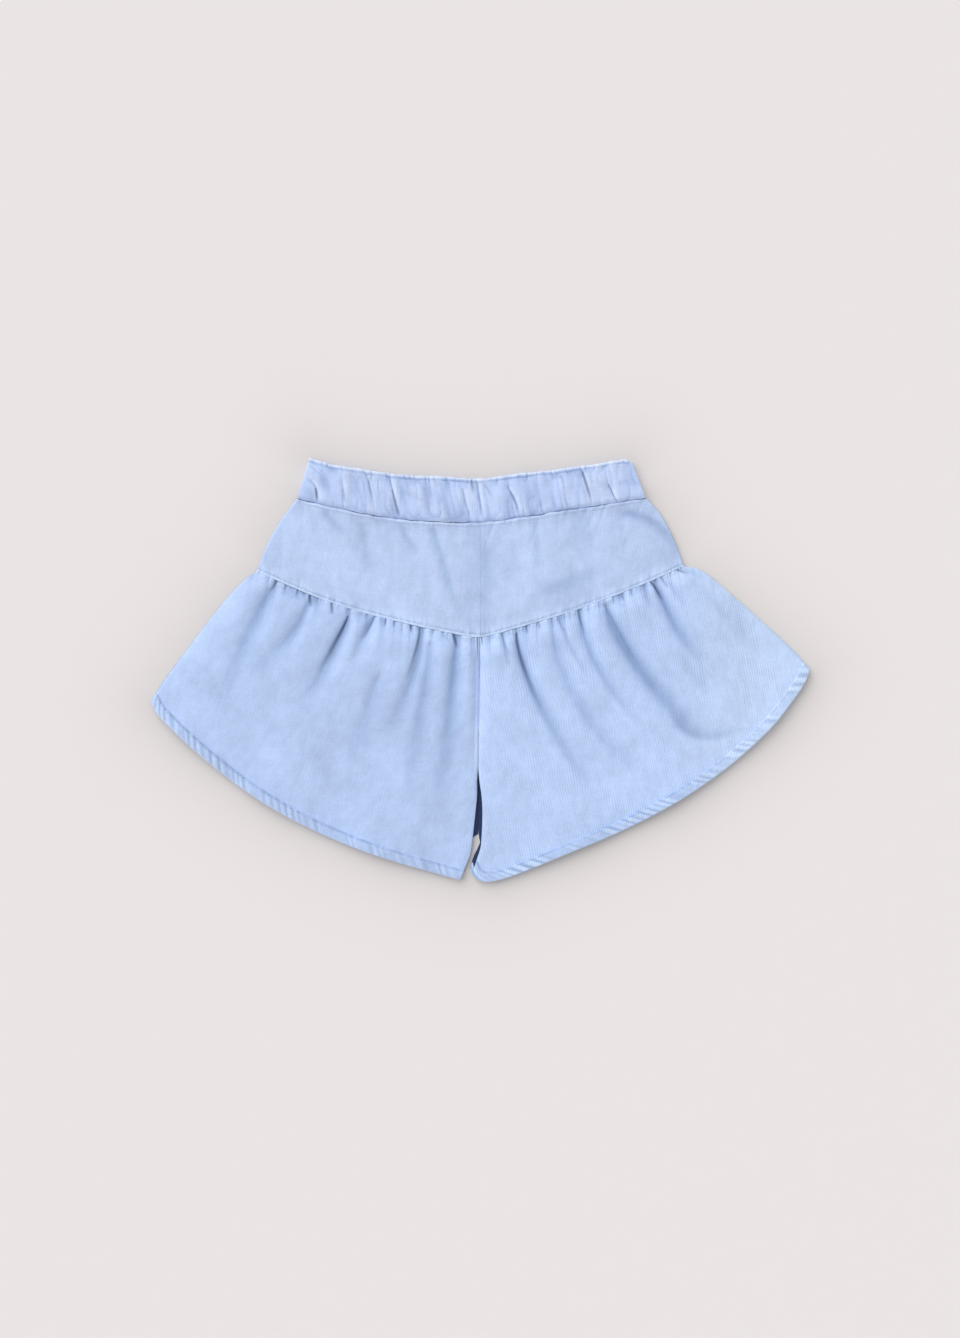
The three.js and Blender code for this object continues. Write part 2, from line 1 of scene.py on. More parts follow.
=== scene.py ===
"""A child's pull-on denim shorts with a V-shaped yoke and gathered, flared legs, laid flat with the front up.

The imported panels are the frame. Each is replaced by a finer cloth shell that has its outline, its wall and
its folds. Shapes are worked out in millimetres, as whole arrays over a grid of two parameters, and turn into
metres when a mesh is made. X runs to the right of someone who looks down at the front, Y towards the waist
and Z up.
"""

from __future__ import annotations

import logging
import math
from dataclasses import dataclass, field
from enum import Enum
from typing import Callable, Sequence

import bpy
import numpy as np
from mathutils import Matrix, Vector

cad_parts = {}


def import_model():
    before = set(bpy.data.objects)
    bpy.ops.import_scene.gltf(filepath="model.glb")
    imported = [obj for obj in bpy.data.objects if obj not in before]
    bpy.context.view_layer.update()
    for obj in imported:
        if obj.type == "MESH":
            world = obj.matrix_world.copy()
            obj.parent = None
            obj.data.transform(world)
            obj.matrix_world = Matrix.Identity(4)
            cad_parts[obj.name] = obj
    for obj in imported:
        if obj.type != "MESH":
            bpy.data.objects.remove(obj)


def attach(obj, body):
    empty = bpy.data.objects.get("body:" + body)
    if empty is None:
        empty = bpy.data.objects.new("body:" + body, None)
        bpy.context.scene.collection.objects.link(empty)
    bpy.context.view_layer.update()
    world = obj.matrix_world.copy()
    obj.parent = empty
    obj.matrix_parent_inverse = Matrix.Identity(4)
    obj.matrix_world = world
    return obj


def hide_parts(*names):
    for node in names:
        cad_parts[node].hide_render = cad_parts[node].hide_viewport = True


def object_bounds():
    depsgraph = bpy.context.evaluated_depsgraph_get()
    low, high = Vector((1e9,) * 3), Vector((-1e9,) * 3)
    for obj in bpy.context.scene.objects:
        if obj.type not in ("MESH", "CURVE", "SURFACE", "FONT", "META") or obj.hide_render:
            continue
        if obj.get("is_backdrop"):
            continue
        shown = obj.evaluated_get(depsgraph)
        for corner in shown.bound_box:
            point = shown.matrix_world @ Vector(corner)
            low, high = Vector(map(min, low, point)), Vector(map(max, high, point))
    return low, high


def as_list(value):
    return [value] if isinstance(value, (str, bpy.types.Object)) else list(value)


LOG = logging.getLogger("denim_shorts")

Array = np.ndarray
Line = Callable[[Array], Array]
Number = float | Array
Span = tuple[float, float]

MM = 0.001
SHARP_FROM = math.radians(62)

# Cloth walls, clearances and heights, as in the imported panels
CLOTH = 1.2
BAND = 2.6
HEM = 2.2
HEM_HEIGHT = 7.0
LAYER_GAP = 0.3
LEG_HOLLOW = 3.0
LEG_LIFT = 3.6
YOKE_HOLLOW = 1.5
BAND_HOLLOW = 1.5
HEM_WAVE = 1.5
HEM_WAVE_COUNT = 3.3
YOKE_SEAM_RISE = 1.7
BAND_SEAM_RISE = 1.6
SIDE_ROLL = 16.0
BAND_ROLL = 7.0
CENTRE_ROLL = 9.0
CENTRE_PRESS = 0.35
SEAM_SLOPE = 14.0
GATHER_PUFF = 9.0
PUFF_AT_SEAM = 0.35
PUFF_AT_HEM = 0.3
LIFT_PRESS = 0.85
SEAM_PRESS = 0.6
BACK_HEM_INSET = 1.2
BACK_HEM_HEIGHT = HEM_HEIGHT - 1.7
BACK_PLAIN_LIFT = 0.78
BACK_GATHER_LIFT = 0.94
BACK_GATHER_COUNT = 13
BROAD_FOLD = 5.0
FOLD_FADE = 2.5
LIT_SIDE = 1.7
SHADE_FADE = 4.0
YOKE_STITCHING = 2.0
BAND_STITCHING = 2.4
HEM_STITCHING = 0.9
STITCH_GROOVE = 0.5
STITCH_GROOVE_WIDTH = 1.1
CORNER_REACH = 8
THIN_RIM = 0.06
LEFT_SEED = 31
RIGHT_SEED = 51

# Outline of the garment as it lies, in millimetres, each edge from left to right or from the waist down
WAIST_TOP = (
    (-120.0, 148.4), (-105, 144.2), (-84, 140.7), (-56, 136.6), (-28, 135.4), (0, 133.9),
    (28, 137.6), (56, 140.7), (84, 144.6), (102.4, 147.1), (106.3, 144.9),
)
BAND_BOTTOM = (
    (-128.3, 120.4), (-112, 115.9), (-84, 110.0), (-56, 105.6), (-28, 103.9), (0, 103.3),
    (28, 106.6), (56, 111.4), (84, 115.4), (116.0, 120.4),
)
YOKE_SEAM = (
    (-157.0, 69.3), (-142, 62.3), (-112, 49.7), (-84, 40.6), (-56, 33.4), (-28, 27.2), (-9, 23.6), (0, 22.8),
    (9, 24.6), (28, 30.0), (56, 38.2), (84, 48.0), (112, 58.9), (128, 65.9), (142.6, 72.8),
)
YOKE_SIDE_LEFT = ((-128.3, 120.4), (-139.8, 105), (-148.5, 90), (-157.0, 69.3))
YOKE_SIDE_RIGHT = ((116.0, 120.4), (125.5, 110), (134.4, 94), (142.6, 72.8))
LEG_SIDE_LEFT = (
    (-157.0, 69.3), (-165.9, 62.4), (-180.5, 46.5), (-202, 18.5), (-222, -8.5), (-230.6, -22.4),
)
LEG_SIDE_RIGHT = (
    (142.6, 72.8), (153, 70.2), (163.1, 63.2), (179.2, 49.2), (203, 28), (222, 9.8), (230.6, -0.7),
)
HEM_LEFT = (
    (-230.6, -22.4), (-227, -29.8), (-217, -40.6), (-203, -53.9), (-175, -77.2), (-147, -96.1),
    (-119, -111.3), (-91, -123.4), (-63, -133.2), (-35, -141.4), (-14.5, -147),
)
HEM_RIGHT = (
    (230.6, -0.7), (227.6, -8), (217, -23.8), (203, -41.0), (175, -66.6), (147, -86.6), (119, -102.7),
    (91, -116.2), (63, -127.8), (35, -139.4), (15, -146.6), (4.5, -148.4), (-2.6, -146.4), (-5.2, -140.5),
)
INNER_LEFT = (
    (-0.6, 22.8), (-1, -20), (-1.5, -55), (-1.6, -68), (-2.3, -78), (-2.3, -87), (-3.3, -98),
    (-4.4, -108.5), (-5.4, -117), (-7.4, -130), (-14.5, -147),
)
INNER_RIGHT = (
    (-0.82, 22.8), (-1.22, -20), (-1.72, -55), (-1.5, -68), (-0.6, -78), (0.6, -86), (1.3, -95), (1.4, -104),
    (0.9, -115), (0.1, -124), (-2.2, -131.5), (-5.2, -140.5),
)
BACK_INNER_LEFT = (
    (-1.5, 22.8), (-1.5, -60), (-1.5, -100), (-1.5, -111), (-1.6, -114), (-2.2, -115.8), (-5.2, -117.2),
    (-8.6, -128), (-15.5, -146),
)
BACK_INNER_RIGHT = (
    (-1.5, 22.8), (-1.5, -60), (-1.5, -100), (-1.5, -111), (-1.4, -114), (-1.1, -117.2), (-0.1, -119.4),
    (-2.6, -126), (-5.0, -131), (-7.4, -139.5),
)

# The folds, a row each, with Fold's fields as columns: x and y where it starts, passes and ends, how deep it
# presses (1 reaches the layer below), and its half width at the start and at the end
GATHERS_LEFT = (
    (-142.8, 62.2, -160, 30, -188, -29, 0.75, 2.6, 10),
    (-136.5, 58.5, -137.4, 55, -138.2, 51, 0.5, 1.7, 2.2),
    (-128.2, 55.4, -128.6, 52, -129, 49, 0.45, 1.6, 2.2),
    (-119, 52.2, -134, 22, -164, -2, 0.65, 2.2, 9),
    (-104.4, 46.6, -104.2, 42, -103.8, 38, 0.55, 1.7, 2.4),
    (-92.6, 42.2, -101, 17, -127, -27, 0.95, 2.2, 7),
    (-74.2, 37.8, -81, 26, -90, 1, 0.8, 2.2, 5),
    (-66.2, 35.6, -67, 32, -67.6, 29, 0.55, 1.7, 2.2),
    (-60.6, 34.2, -61, 31, -61.2, 28.5, 0.45, 1.5, 2),
    (-48.3, 31.4, -48.4, 28, -48.4, 24, 0.6, 1.7, 2.4),
    (-41.3, 30.0, -48, -6, -67, -47, 0.85, 2.2, 7.5),
    (-32.9, 28.2, -33.2, 25, -33.4, 22, 0.5, 1.6, 2.2),
    (-36, 16, -40, -22, -55, -84, 0.6, 4, 8.5),
    (-28, 27, -24, 22, -19.6, 18.6, 0.5, 1.8, 2),
    (-17.6, 25.2, -20.5, -20, -31, -96, 0.8, 2.4, 9.5),
    (-73, -8, -82, -35, -95, -63, 0.4, 5, 7),
)
GATHERS_RIGHT = (
    (15.2, 26.2, 17.6, 13, 21.4, 1, 0.5, 1.8, 2.4),
    (24.5, 28, 38.5, -20, 76, -83, 0.92, 2.4, 7.5),
    (31.8, 31.2, 32.2, 28, 32.6, 25, 0.45, 1.6, 2),
    (40.6, 33.8, 41, 30.5, 41.4, 27, 0.5, 1.7, 2.2),
    (50, 34, 67, -24, 108, -69, 0.5, 3.2, 8.5),
    (55.5, 38, 62.5, 17, 78, -9, 0.5, 1.9, 3.4),
    (68.4, 42.6, 83, 0, 114, -41, 0.78, 2.2, 5.5),
    (88, 44.5, 105.5, 8, 151, -46, 1.0, 3.4, 9.5),
    (139, -39, 158, -47, 183, -41, 0.8, 7.5, 5),
    (92.4, 51.4, 92.6, 48, 92.8, 44.5, 0.5, 1.7, 2.2),
    (98.2, 53.6, 98.8, 50.5, 99.4, 47, 0.5, 1.6, 2.2),
    (104, 55.8, 104.6, 53, 105.2, 50, 0.45, 1.6, 2),
    (113.6, 59.6, 116.2, 51, 119, 42, 0.45, 2, 3.4),
    (121.6, 63, 139, 25, 158, 3, 0.88, 2.4, 6.5),
    (127.6, 65.8, 135, 56.5, 145, 41, 0.5, 1.9, 3.4),
    (137.6, 70.4, 147, 68, 155, 62, 0.65, 2.4, 3.4),
    (147, -2, 154, -10, 162, -19, 0.35, 7, 7),
    (152, 58, 181, 29, 197, 9, 0.3, 6, 8),
)
BAND_CREASES = (
    (-119, 142.8, -114.8, 139.3, -110.6, 135.8, 0.45, 1.7, 1.7),
    (-118.3, 132.3, -114.6, 126, -114.1, 117.6, 0.9, 2.0, 2.0),
    (-96.6, 131.6, -95.5, 125, -94.5, 116, 0.45, 2.2, 2.2),
    (-79.8, 135.8, -77, 126, -74.2, 111, 0.6, 2.2, 2.2),
    (-63, 133, -59.5, 119, -56, 106.6, 0.92, 2.2, 2.2),
    (-52.5, 124.6, -42, 120.4, -30.8, 114.8, 0.28, 3.2, 3.2),
    (-11.9, 126, -9.8, 115.5, -7, 106.4, 0.55, 2.0, 2.0),
    (-2.4, 132.5, -0.2, 119, 1.4, 105, 0.9, 2.2, 2.2),
    (19.6, 127.4, 24.5, 119, 27.3, 108.5, 0.85, 2.2, 2.2),
    (57.4, 126, 59, 120, 61, 113, 0.45, 2.0, 2.0),
    (70, 142, 74, 132, 77.5, 116, 0.92, 2.2, 2.2),
    (89.6, 129.5, 93.8, 121, 97, 117, 0.75, 2.0, 2.0),
    (98, 130.2, 105, 130.5, 112, 130.9, 0.25, 2.4, 2.4),
)
YOKE_CREASES = (
    (-108.5, 110.6, -101.5, 101.5, -91, 94.5, 0.4, 4, 4),
    (-82.6, 101, -80.5, 84, -77, 66.5, 0.3, 6, 6),
    (-56, 101.5, -50.4, 91, -43.4, 80.5, 0.4, 4, 4),
    (-33.6, 98, -24.5, 70, -15.4, 38.5, 0.45, 4.5, 4.5),
    (38.5, 101.5, 39.5, 85, 40, 70, 0.3, 5, 5),
    (45.5, 56, 65, 63, 84, 70, 0.35, 8, 8),
    (103, 110, 125, 100.5, 141, 78, 0.55, 5, 5),
)

# Where the broad folds get painted shade beyond their own depth, with the same columns
SHADES_LEFT = (
    (-143, 58, -155, 35, -173, 2, 0.4, 3.5, 9),
    (-95, 34, -108, 8, -122, -20, 0.4, 2.5, 5),
    (-18.5, 12, -24.5, -36, -34, -108, 0.55, 3.6, 6.5),
    (-41, -4, -46, -40, -53, -100, 0.42, 4, 6.5),
    (-68, -10, -80, -40, -92, -72, 0.3, 4, 6),
)
SHADES_RIGHT = (
    (97, 22, 122, -18, 158, -47, 0.85, 5, 8),
    (124, 55, 141, 27, 157, 8, 0.5, 2.6, 4.5),
    (30, 8, 48, -34, 74, -76, 0.35, 2.4, 4.5),
    (60, -5, 82, -42, 106, -68, 0.3, 4, 6),
    (152, -47, 168, -46, 186, -40, 0.35, 4, 3),
)

# Sharp pinches at the tops of the folds, pressed in and painted with a nearly black shadow, with the same
# columns
PINCHES_LEFT = (
    (-142.6, 62.8, -144.8, 58.5, -147.5, 54, 0.7, 0.8, 0.8),
    (-136.5, 59.4, -136.9, 57.2, -137.4, 55, 0.5, 0.6, 0.6),
    (-128.2, 56.2, -128.4, 53.8, -128.8, 51.6, 0.45, 0.6, 0.6),
    (-119.7, 53.2, -119.3, 48.6, -118.4, 43.4, 0.95, 0.7, 1.4),
    (-104.2, 47.2, -103.9, 42.6, -103.6, 38.4, 0.85, 0.6, 1.0),
    (-92.3, 43.8, -92.2, 42.4, -92.3, 41, 0.7, 0.45, 0.5),
    (-93, 37.5, -98.7, 25.4, -114, -3, 1.0, 0.5, 1.9),
    (-74.1, 38.2, -77.6, 30, -83, 21.5, 0.72, 0.7, 1.5),
    (-66.4, 36.2, -66.5, 33, -66.4, 30.2, 0.6, 0.5, 0.7),
    (-60.6, 34.8, -60.6, 32, -60.3, 29.4, 0.5, 0.5, 0.7),
    (-48.9, 32, -48.7, 29, -48.4, 26.2, 0.8, 0.6, 0.8),
    (-42.6, 29.6, -45.2, 15, -52.5, -8, 0.8, 0.6, 1.2),
    (-32.6, 28.4, -32.8, 26.4, -33, 24.6, 0.45, 0.5, 0.6),
    (-19.3, 25.4, -17.7, 20.2, -15.8, 14.6, 0.95, 0.8, 1.6),
    (-2.2, 22.2, -2.2, 16, -2.4, 6, 0.8, 0.55, 0.5),
)
PINCHES_RIGHT = (
    (1.0, 22.6, 1.2, 19.4, 1.7, 16.4, 0.6, 0.5, 0.7),
    (15, 25, 17.4, 17, 21.2, 9, 0.4, 0.7, 1.4),
    (25.2, 25.6, 29.6, 4, 44.5, -32, 0.82, 0.9, 2.0),
    (31.6, 31, 32.2, 28, 33, 25.2, 0.45, 0.5, 0.7),
    (40.4, 34, 41, 31.2, 41.9, 28.6, 0.5, 0.5, 0.7),
    (53.6, 37, 56.8, 30.4, 61.5, 23.5, 0.35, 0.6, 1.1),
    (68, 43, 69.9, 35, 73.4, 25, 0.58, 0.7, 1.4),
    (86, 46.6, 95.4, 30, 112, -2, 0.3, 0.9, 2.2),
    (92.6, 51.6, 93.3, 48.2, 94.1, 45.4, 0.4, 0.5, 0.7),
    (98.6, 53.9, 99.8, 50.4, 101.2, 47.4, 0.4, 0.5, 0.7),
    (104.6, 56.2, 105.6, 53.6, 107, 51, 0.35, 0.5, 0.7),
    (119.4, 61.6, 123.5, 55, 127.6, 47.5, 0.9, 0.8, 1.7),
    (126.4, 65.2, 128.6, 61.2, 131.8, 57, 0.6, 0.6, 1.0),
    (137, 70.4, 141.5, 68.4, 146.5, 66.4, 0.6, 0.7, 1.0),
)
PINCHES_BAND = (
    (-115.2, 127, -114.5, 122, -114.1, 117.2, 0.95, 0.5, 0.9),
    (-96, 126, -95.3, 121, -94.7, 116.6, 0.35, 0.6, 0.8),
    (-78.4, 132, -77, 125, -75.4, 117, 0.35, 0.6, 0.8),
    (-61.6, 126, -59, 115, -56.2, 106.6, 0.7, 0.6, 0.9),
    (-6.3, 133, -5.9, 128.6, -5.4, 123.6, 0.85, 0.6, 0.8),
    (-1.6, 122, -0.2, 114, 1.2, 106, 0.4, 0.6, 0.8),
    (2.8, 130.2, 5.4, 125.4, 8.4, 120.4, 0.4, 0.6, 0.7),
    (21, 125, 24.6, 117.4, 27.4, 109, 0.6, 0.6, 0.9),
    (42, 118, 42.4, 114.2, 42.7, 110.4, 0.4, 0.6, 0.7),
    (56.8, 136, 59, 127, 60.8, 114.5, 0.35, 0.5, 0.7),
    (-12.6, 126.4, -11, 119, -9.4, 111.6, 0.4, 0.5, 0.6),
    (71.2, 138, 74.4, 128, 77.4, 117.4, 0.72, 0.6, 0.9),
    (90.2, 129.6, 93.6, 122, 97, 116.6, 0.6, 0.6, 0.8),
)


class Hand(Enum):
    """The side of the garment as someone sees it who looks down at the front."""

    LEFT = "left"
    RIGHT = "right"

    @property
    def sign(self) -> int:
        """Minus one towards -X on the left, one towards +X on the right."""
        return -1 if self is Hand.LEFT else 1


class Layer(Enum):
    """The upper layer, which shows, or the one that lies on the surface."""

    FRONT = "front"
    BACK = "back"


def smoothstep(value: Number, low: float, high: float) -> Array:
    """Rises from 0 at low to 1 at high along 3t² - 2t³.

    Args:
        value: where to read it.
        low: where it leaves 0.
        high: where it reaches 1.

    Returns:
        The share, from 0 to 1.
    """
    share = np.clip((value - low) / (high - low), 0.0, 1.0)
    return share * share * (3.0 - 2.0 * share)


def falling(value: Number, low: float, high: float) -> Array:
    """Falls from 1 at low to 0 at high, as smoothstep rises."""
    return 1.0 - smoothstep(value, low, high)


def lerp(start: Number, end: Number, share: Number) -> Array:
    """Goes straight from start to end as share goes from 0 to 1."""
    return start + (end - start) * share


def shoulder(distance: Array, roll: float) -> Array:
    """0 at an edge and 1 beyond the roll, along the parabola 1 - (1 - d/roll)²."""
    return 1.0 - (1.0 - np.clip(distance / roll, 0.0, 1.0)) ** 2


def rounded(distance: Array, radius: Number) -> Array:
    """0 at an edge and 1 a radius inside it, along a quarter circle."""
    short = np.clip(1.0 - distance / radius, 0.0, 1.0)
    return np.sqrt(1.0 - short * short)


def closed(distance: Array, radius: Number) -> Array:
    """Half of a wall that closes onto the other layer: just under -1 at an edge, and 1 a radius inside it."""
    return lerp(-0.94, 1.0, rounded(distance, radius))


def bell(distance: Array, width: Number) -> Array:
    """1 in the middle, falling to both sides along exp(-(d/width)²)."""
    return np.exp(-((distance / width) ** 2))


def decay(distance: Array, reach: float) -> Array:
    """1 at an edge, falling away from it along exp(-d/reach)."""
    return np.exp(-distance / reach)


def wander(x: Array, y: Number, size: float, seed: int) -> Array:
    """Smooth noise from -1 to 1: random values on a square lattice, eased between its corners.

    Args:
        x: first coordinate, in millimetres.
        y: second coordinate, in millimetres.
        size: the lattice's step, in millimetres.
        seed: which noise it is.

    Returns:
        The noise at each point.
    """
    count = 512
    lattice = np.random.default_rng(seed).uniform(-1.0, 1.0, (count, count))
    across, up = x / size + count / 2, np.asarray(y) / size + count / 2
    i, j = np.floor(across).astype(int), np.floor(up).astype(int)
    share_i, share_j = smoothstep(across - i, 0, 1), smoothstep(up - j, 0, 1)
    i, j = i % count, j % count
    after_i, after_j = (i + 1) % count, (j + 1) % count
    low = lerp(lattice[i, j], lattice[after_i, j], share_i)
    high = lerp(lattice[i, after_j], lattice[after_i, after_j], share_i)
    return lerp(low, high, share_j)


@dataclass(frozen=True)
class Unevenness:
    """One smooth noise: its seed, its size in millimetres, its strength and how much it changes lengthwise.

    Lengthwise is 1 for round patches, less for patches drawn out along the panel, and 0 for stripes.
    """

    seed: int
    size: float
    strength: float = 1.0
    lengthwise: float = 0.0

    def on(self, x: Array, y: Number = 0.0) -> Array:
        """The noise at those points, between minus and plus its strength."""
        return self.strength * wander(x, y * self.lengthwise, self.size, self.seed)


@dataclass(frozen=True)
class Mark:
    """A line along an edge, such as a groove or a worn stripe: its distance, half width and strength."""

    at: float
    width: float
    strength: float

    def on(self, distance: Array) -> Array:
        """What the mark adds at those distances from the edge, as a bell curve."""
        return self.strength * bell(distance - self.at, self.width)


def sunk(distance: Array, row: float, wall: Number) -> Array:
    """What is left of half a wall's height, as a share, over a groove in which a row of stitches lies.

    Args:
        distance: how far each point lies from the edge, in millimetres.
        row: how far the stitches lie from it.
        wall: the wall's thickness.

    Returns:
        1 away from the groove.
    """
    return 1 - 2 * STITCH_GROOVE / wall * bell(distance - row, STITCH_GROOVE_WIDTH)


def band_seam_waver(x: Array, away: Array) -> Array:
    """How far the seam under the waistband wavers down, fading with the distance from it."""
    return Unevenness(15, 6.0, 0.5).on(x) * decay(np.abs(away), 2.5)


class Edge:
    """A smooth line through outline points, read by its share of length."""

    STEPS = 24

    def __init__(self, knots: Sequence[tuple[float, float]]) -> None:
        """Carries a centripetal Catmull-Rom curve through the knots.

        Each stretch is the cubic that has two knots as its ends, and tangents weighted by the square roots of
        the distances between four neighbouring knots.

        Args:
            knots: the outline points, in millimetres.
        """
        inside = np.array(knots, dtype=float)
        ends = 2 * inside[[0, -1]] - inside[[1, -2]]
        points = np.vstack([ends[:1], inside, ends[1:]])
        gaps = np.sqrt(np.linalg.norm(np.diff(points, axis=0), axis=1))[:, None]
        before, start, end, after = points[:-3], points[1:-2], points[2:-1], points[3:]
        gap_in, gap, gap_out = gaps[:-2], gaps[1:-1], gaps[2:]
        leave = ((start - before) / gap_in - (end - before) / (gap_in + gap)) * gap + (end - start)
        arrive = (end - start) - ((after - start) / (gap + gap_out) - (after - end) / gap_out) * gap
        t = np.linspace(0, 1, self.STEPS, endpoint=False)[None, :, None]
        start, end, leave, arrive = (part[:, None, :] for part in (start, end, leave, arrive))
        bend = 3 * (end - start) - 2 * leave - arrive
        twist = 2 * (start - end) + leave + arrive
        curve = start + leave * t + bend * t**2 + twist * t**3
        self.points = np.vstack([curve.reshape(-1, 2), inside[-1:]])
        steps = np.linalg.norm(np.diff(self.points, axis=0), axis=1)
        self.length = float(steps.sum())
        self.shares = np.concatenate([[0.0], np.cumsum(steps)]) / self.length

    def __call__(self, share: Array) -> Array:
        """The points at those shares of the length, as an array with x and y along its last axis."""
        return np.stack([np.interp(share, self.shares, self.points[:, axis]) for axis in (0, 1)], axis=-1)

    def share_at_x(self, x: float) -> float:
        """The share of length at which an edge that runs from left to right reaches x."""
        return float(np.interp(x, self.points[:, 0], self.shares))

    def stretch(self, start: float, end: float) -> Line:
        """The part of the edge between two shares of its length, as a line from 0 to 1."""
        return lambda share: self(lerp(start, end, np.asarray(share, dtype=float)))


def moved(line: Line, by_x: Callable[[Array], Number], by_y: Callable[[Array], Number]) -> Line:
    """A line shifted sideways and up or down by amounts that may change along it.

    Args:
        line: the line to shift.
        by_x: how far to the right, for each share.
        by_y: how far up, for each share.

    Returns:
        The shifted line.
    """

    def shifted(share: Array) -> Array:
        """The shifted line's points."""
        share = np.asarray(share, dtype=float)
        return line(share) + np.stack([share * 0 + by_x(share), share * 0 + by_y(share)], axis=-1)

    return shifted


@dataclass(frozen=True)
class Fold:
    """A trough in the cloth along a bend through three points, wide open or narrow at each end."""

    x: float
    y: float
    mid_x: float
    mid_y: float
    end_x: float
    end_y: float
    depth: float
    width: float
    end_width: float

    SAMPLES = 16

    def line(self) -> Array:
        """Points along the quadratic curve that starts, passes and ends at the fold's three points."""
        start, end = np.array([self.x, self.y]), np.array([self.end_x, self.end_y])
        pull = 2 * np.array([self.mid_x, self.mid_y]) - (start + end) / 2
        t = np.linspace(0, 1, self.SAMPLES + 1)[:, None]
        return start * (1 - t) ** 2 + pull * 2 * t * (1 - t) + end * t**2

    def near(self, x: Array, y: Array) -> tuple[Array, Array]:
        """How far points lie from the fold's line, and how far along it.

        Args:
            x: the points' first coordinate, in millimetres.
            y: the points' second coordinate, in millimetres.

        Returns:
            The distance in millimetres, below zero left of a fold that runs down, and the share of the line.
        """
        line = self.line()
        away, along = np.full(x.shape, np.inf), np.zeros(x.shape)
        for piece, (start, end) in enumerate(zip(line[:-1], line[1:])):
            step = end - start
            from_x, from_y = x - start[0], y - start[1]
            share = np.clip((from_x * step[0] + from_y * step[1]) / (step @ step), 0, 1)
            gap = np.hypot(from_x - step[0] * share, from_y - step[1] * share)
            side = np.where(step[0] * from_y - step[1] * from_x < 0, -1.0, 1.0)
            closer = gap < np.abs(away)
            away = np.where(closer, gap * side, away)
            along = np.where(closer, (piece + share) / self.SAMPLES, along)
        return away, along

    def eased(self) -> Fold:
        """The same fold as wide as the layer below can follow."""
        widths = max(self.width, BROAD_FOLD), self.end_width + 1
        return Fold(self.x, self.y, self.mid_x, self.mid_y, self.end_x, self.end_y, self.depth, *widths)


def folds_from(rows: Sequence[Sequence[float]]) -> list[Fold]:
    """Turns rows of numbers into folds."""
    return [Fold(*row) for row in rows]


def pressed(
    folds: Sequence[Fold], x: Array, y: Array, lean: float = 0.0, narrow: float = 1.0, fade: float = FOLD_FADE
) -> Array:
    """How far folds press the cloth down: 1 minus the product of what each leaves open.

    Across a fold the depth falls off as a bell curve of its half width, and along it as 1 - t to the power
    of fade.

    Args:
        folds: the folds that reach this cloth.
        x: the points' first coordinate, in millimetres.
        y: the points' second coordinate, in millimetres.
        lean: how much steeper a fold is on its left than on its right, from 0 to 1.
        narrow: what the folds' widths are multiplied by.
        fade: the power by which a fold fades along its line.

    Returns:
        0 on the ridges and towards 1 in the deepest fold.
    """
    opened = np.ones(x.shape)
    for fold in folds:
        away, along = fold.near(x, y)
        width = lerp(fold.width, fold.end_width, along) * narrow * (1 + lean * np.sign(away))
        opened *= 1 - fold.depth * (1 - along**fade) * bell(away, width)
    return 1 - opened


@dataclass(frozen=True)
class Place:
    """Points of a panel and how far each lies from the panel's edges, in millimetres."""

    x: Array
    y: Array
    from_top: Array
    from_bottom: Array
    from_outer: Array
    from_inner: Array

    @property
    def from_ends(self) -> Array:
        """How far each point lies from the nearer of the outer and the inner edge."""
        return np.minimum(self.from_outer, self.from_inner)

    @property
    def share(self) -> Array:
        """How far across the panel each point lies, from the outer edge at 0 to the inner one at 1."""
        return self.from_outer / np.maximum(self.from_outer + self.from_inner, 1.0)


@dataclass(frozen=True)
class Cut:
    """A panel's four edges: top and bottom run from outer to inner, and outer and inner run down."""

    top: Line
    bottom: Line
    outer: Line
    inner: Line

    def spot(self, u: Array, v: Array) -> Array:
        """The Coons patch between the edges: both straight blends less the blend of the corners.

        Args:
            u: the share across.
            v: the share down, where a value under 0 goes straight on beyond the top edge.

        Returns:
            The points, with x and y along the last axis.
        """
        u, v = np.broadcast_arrays(np.asarray(u, dtype=float), np.asarray(v, dtype=float))
        inside = np.clip(v, 0, 1)
        found = self._patch(u, inside)
        step = 0.004
        beyond = (found - self._patch(u, inside + step)) * (-np.minimum(v, 0) / step)[..., None]
        return found + beyond

    def _patch(self, u: Array, v: Array) -> Array:
        """The Coons patch itself, for shares from 0 to 1."""
        a, b, c, d = (line(np.array(end)) for line in (self.top, self.bottom) for end in (0.0, 1.0))
        u_, v_ = u[..., None], v[..., None]
        down = self.top(u) * (1 - v_) + self.bottom(u) * v_
        across = self.outer(v) * (1 - u_) + self.inner(v) * u_
        corners = a * (1 - u_) * (1 - v_) + b * u_ * (1 - v_) + c * (1 - u_) * v_ + d * u_ * v_
        return down + across - corners

    def lengths(self, u: Array) -> Array:
        """How long each column is from the top edge to the bottom one."""
        return np.linalg.norm(self.spot(u, np.ones_like(u)) - self.spot(u, np.zeros_like(u)), axis=-1)

    def place(self, u: Array, v: Array) -> Place:
        """The points at those shares with their distances from the edges."""
        u, v = np.broadcast_arrays(u, v)
        spot = self.spot(u, v)

        def gap(other_u: Array, other_v: Array) -> Array:
            """How far each point lies from the one at the other shares."""
            return np.linalg.norm(spot - self.spot(other_u, other_v), axis=-1)

        zero, one = np.zeros_like(u), np.ones_like(u)
        return Place(
            x=spot[..., 0],
            y=spot[..., 1],
            from_top=gap(u, zero) * np.sign(v),
            from_bottom=gap(u, one),
            from_outer=gap(zero, v),
            from_inner=gap(one, v),
        )


def unit(vectors: Array) -> Array:
    """Vectors of length one in the same directions."""
    return vectors / np.maximum(np.linalg.norm(vectors, axis=-1, keepdims=True), 1e-9)


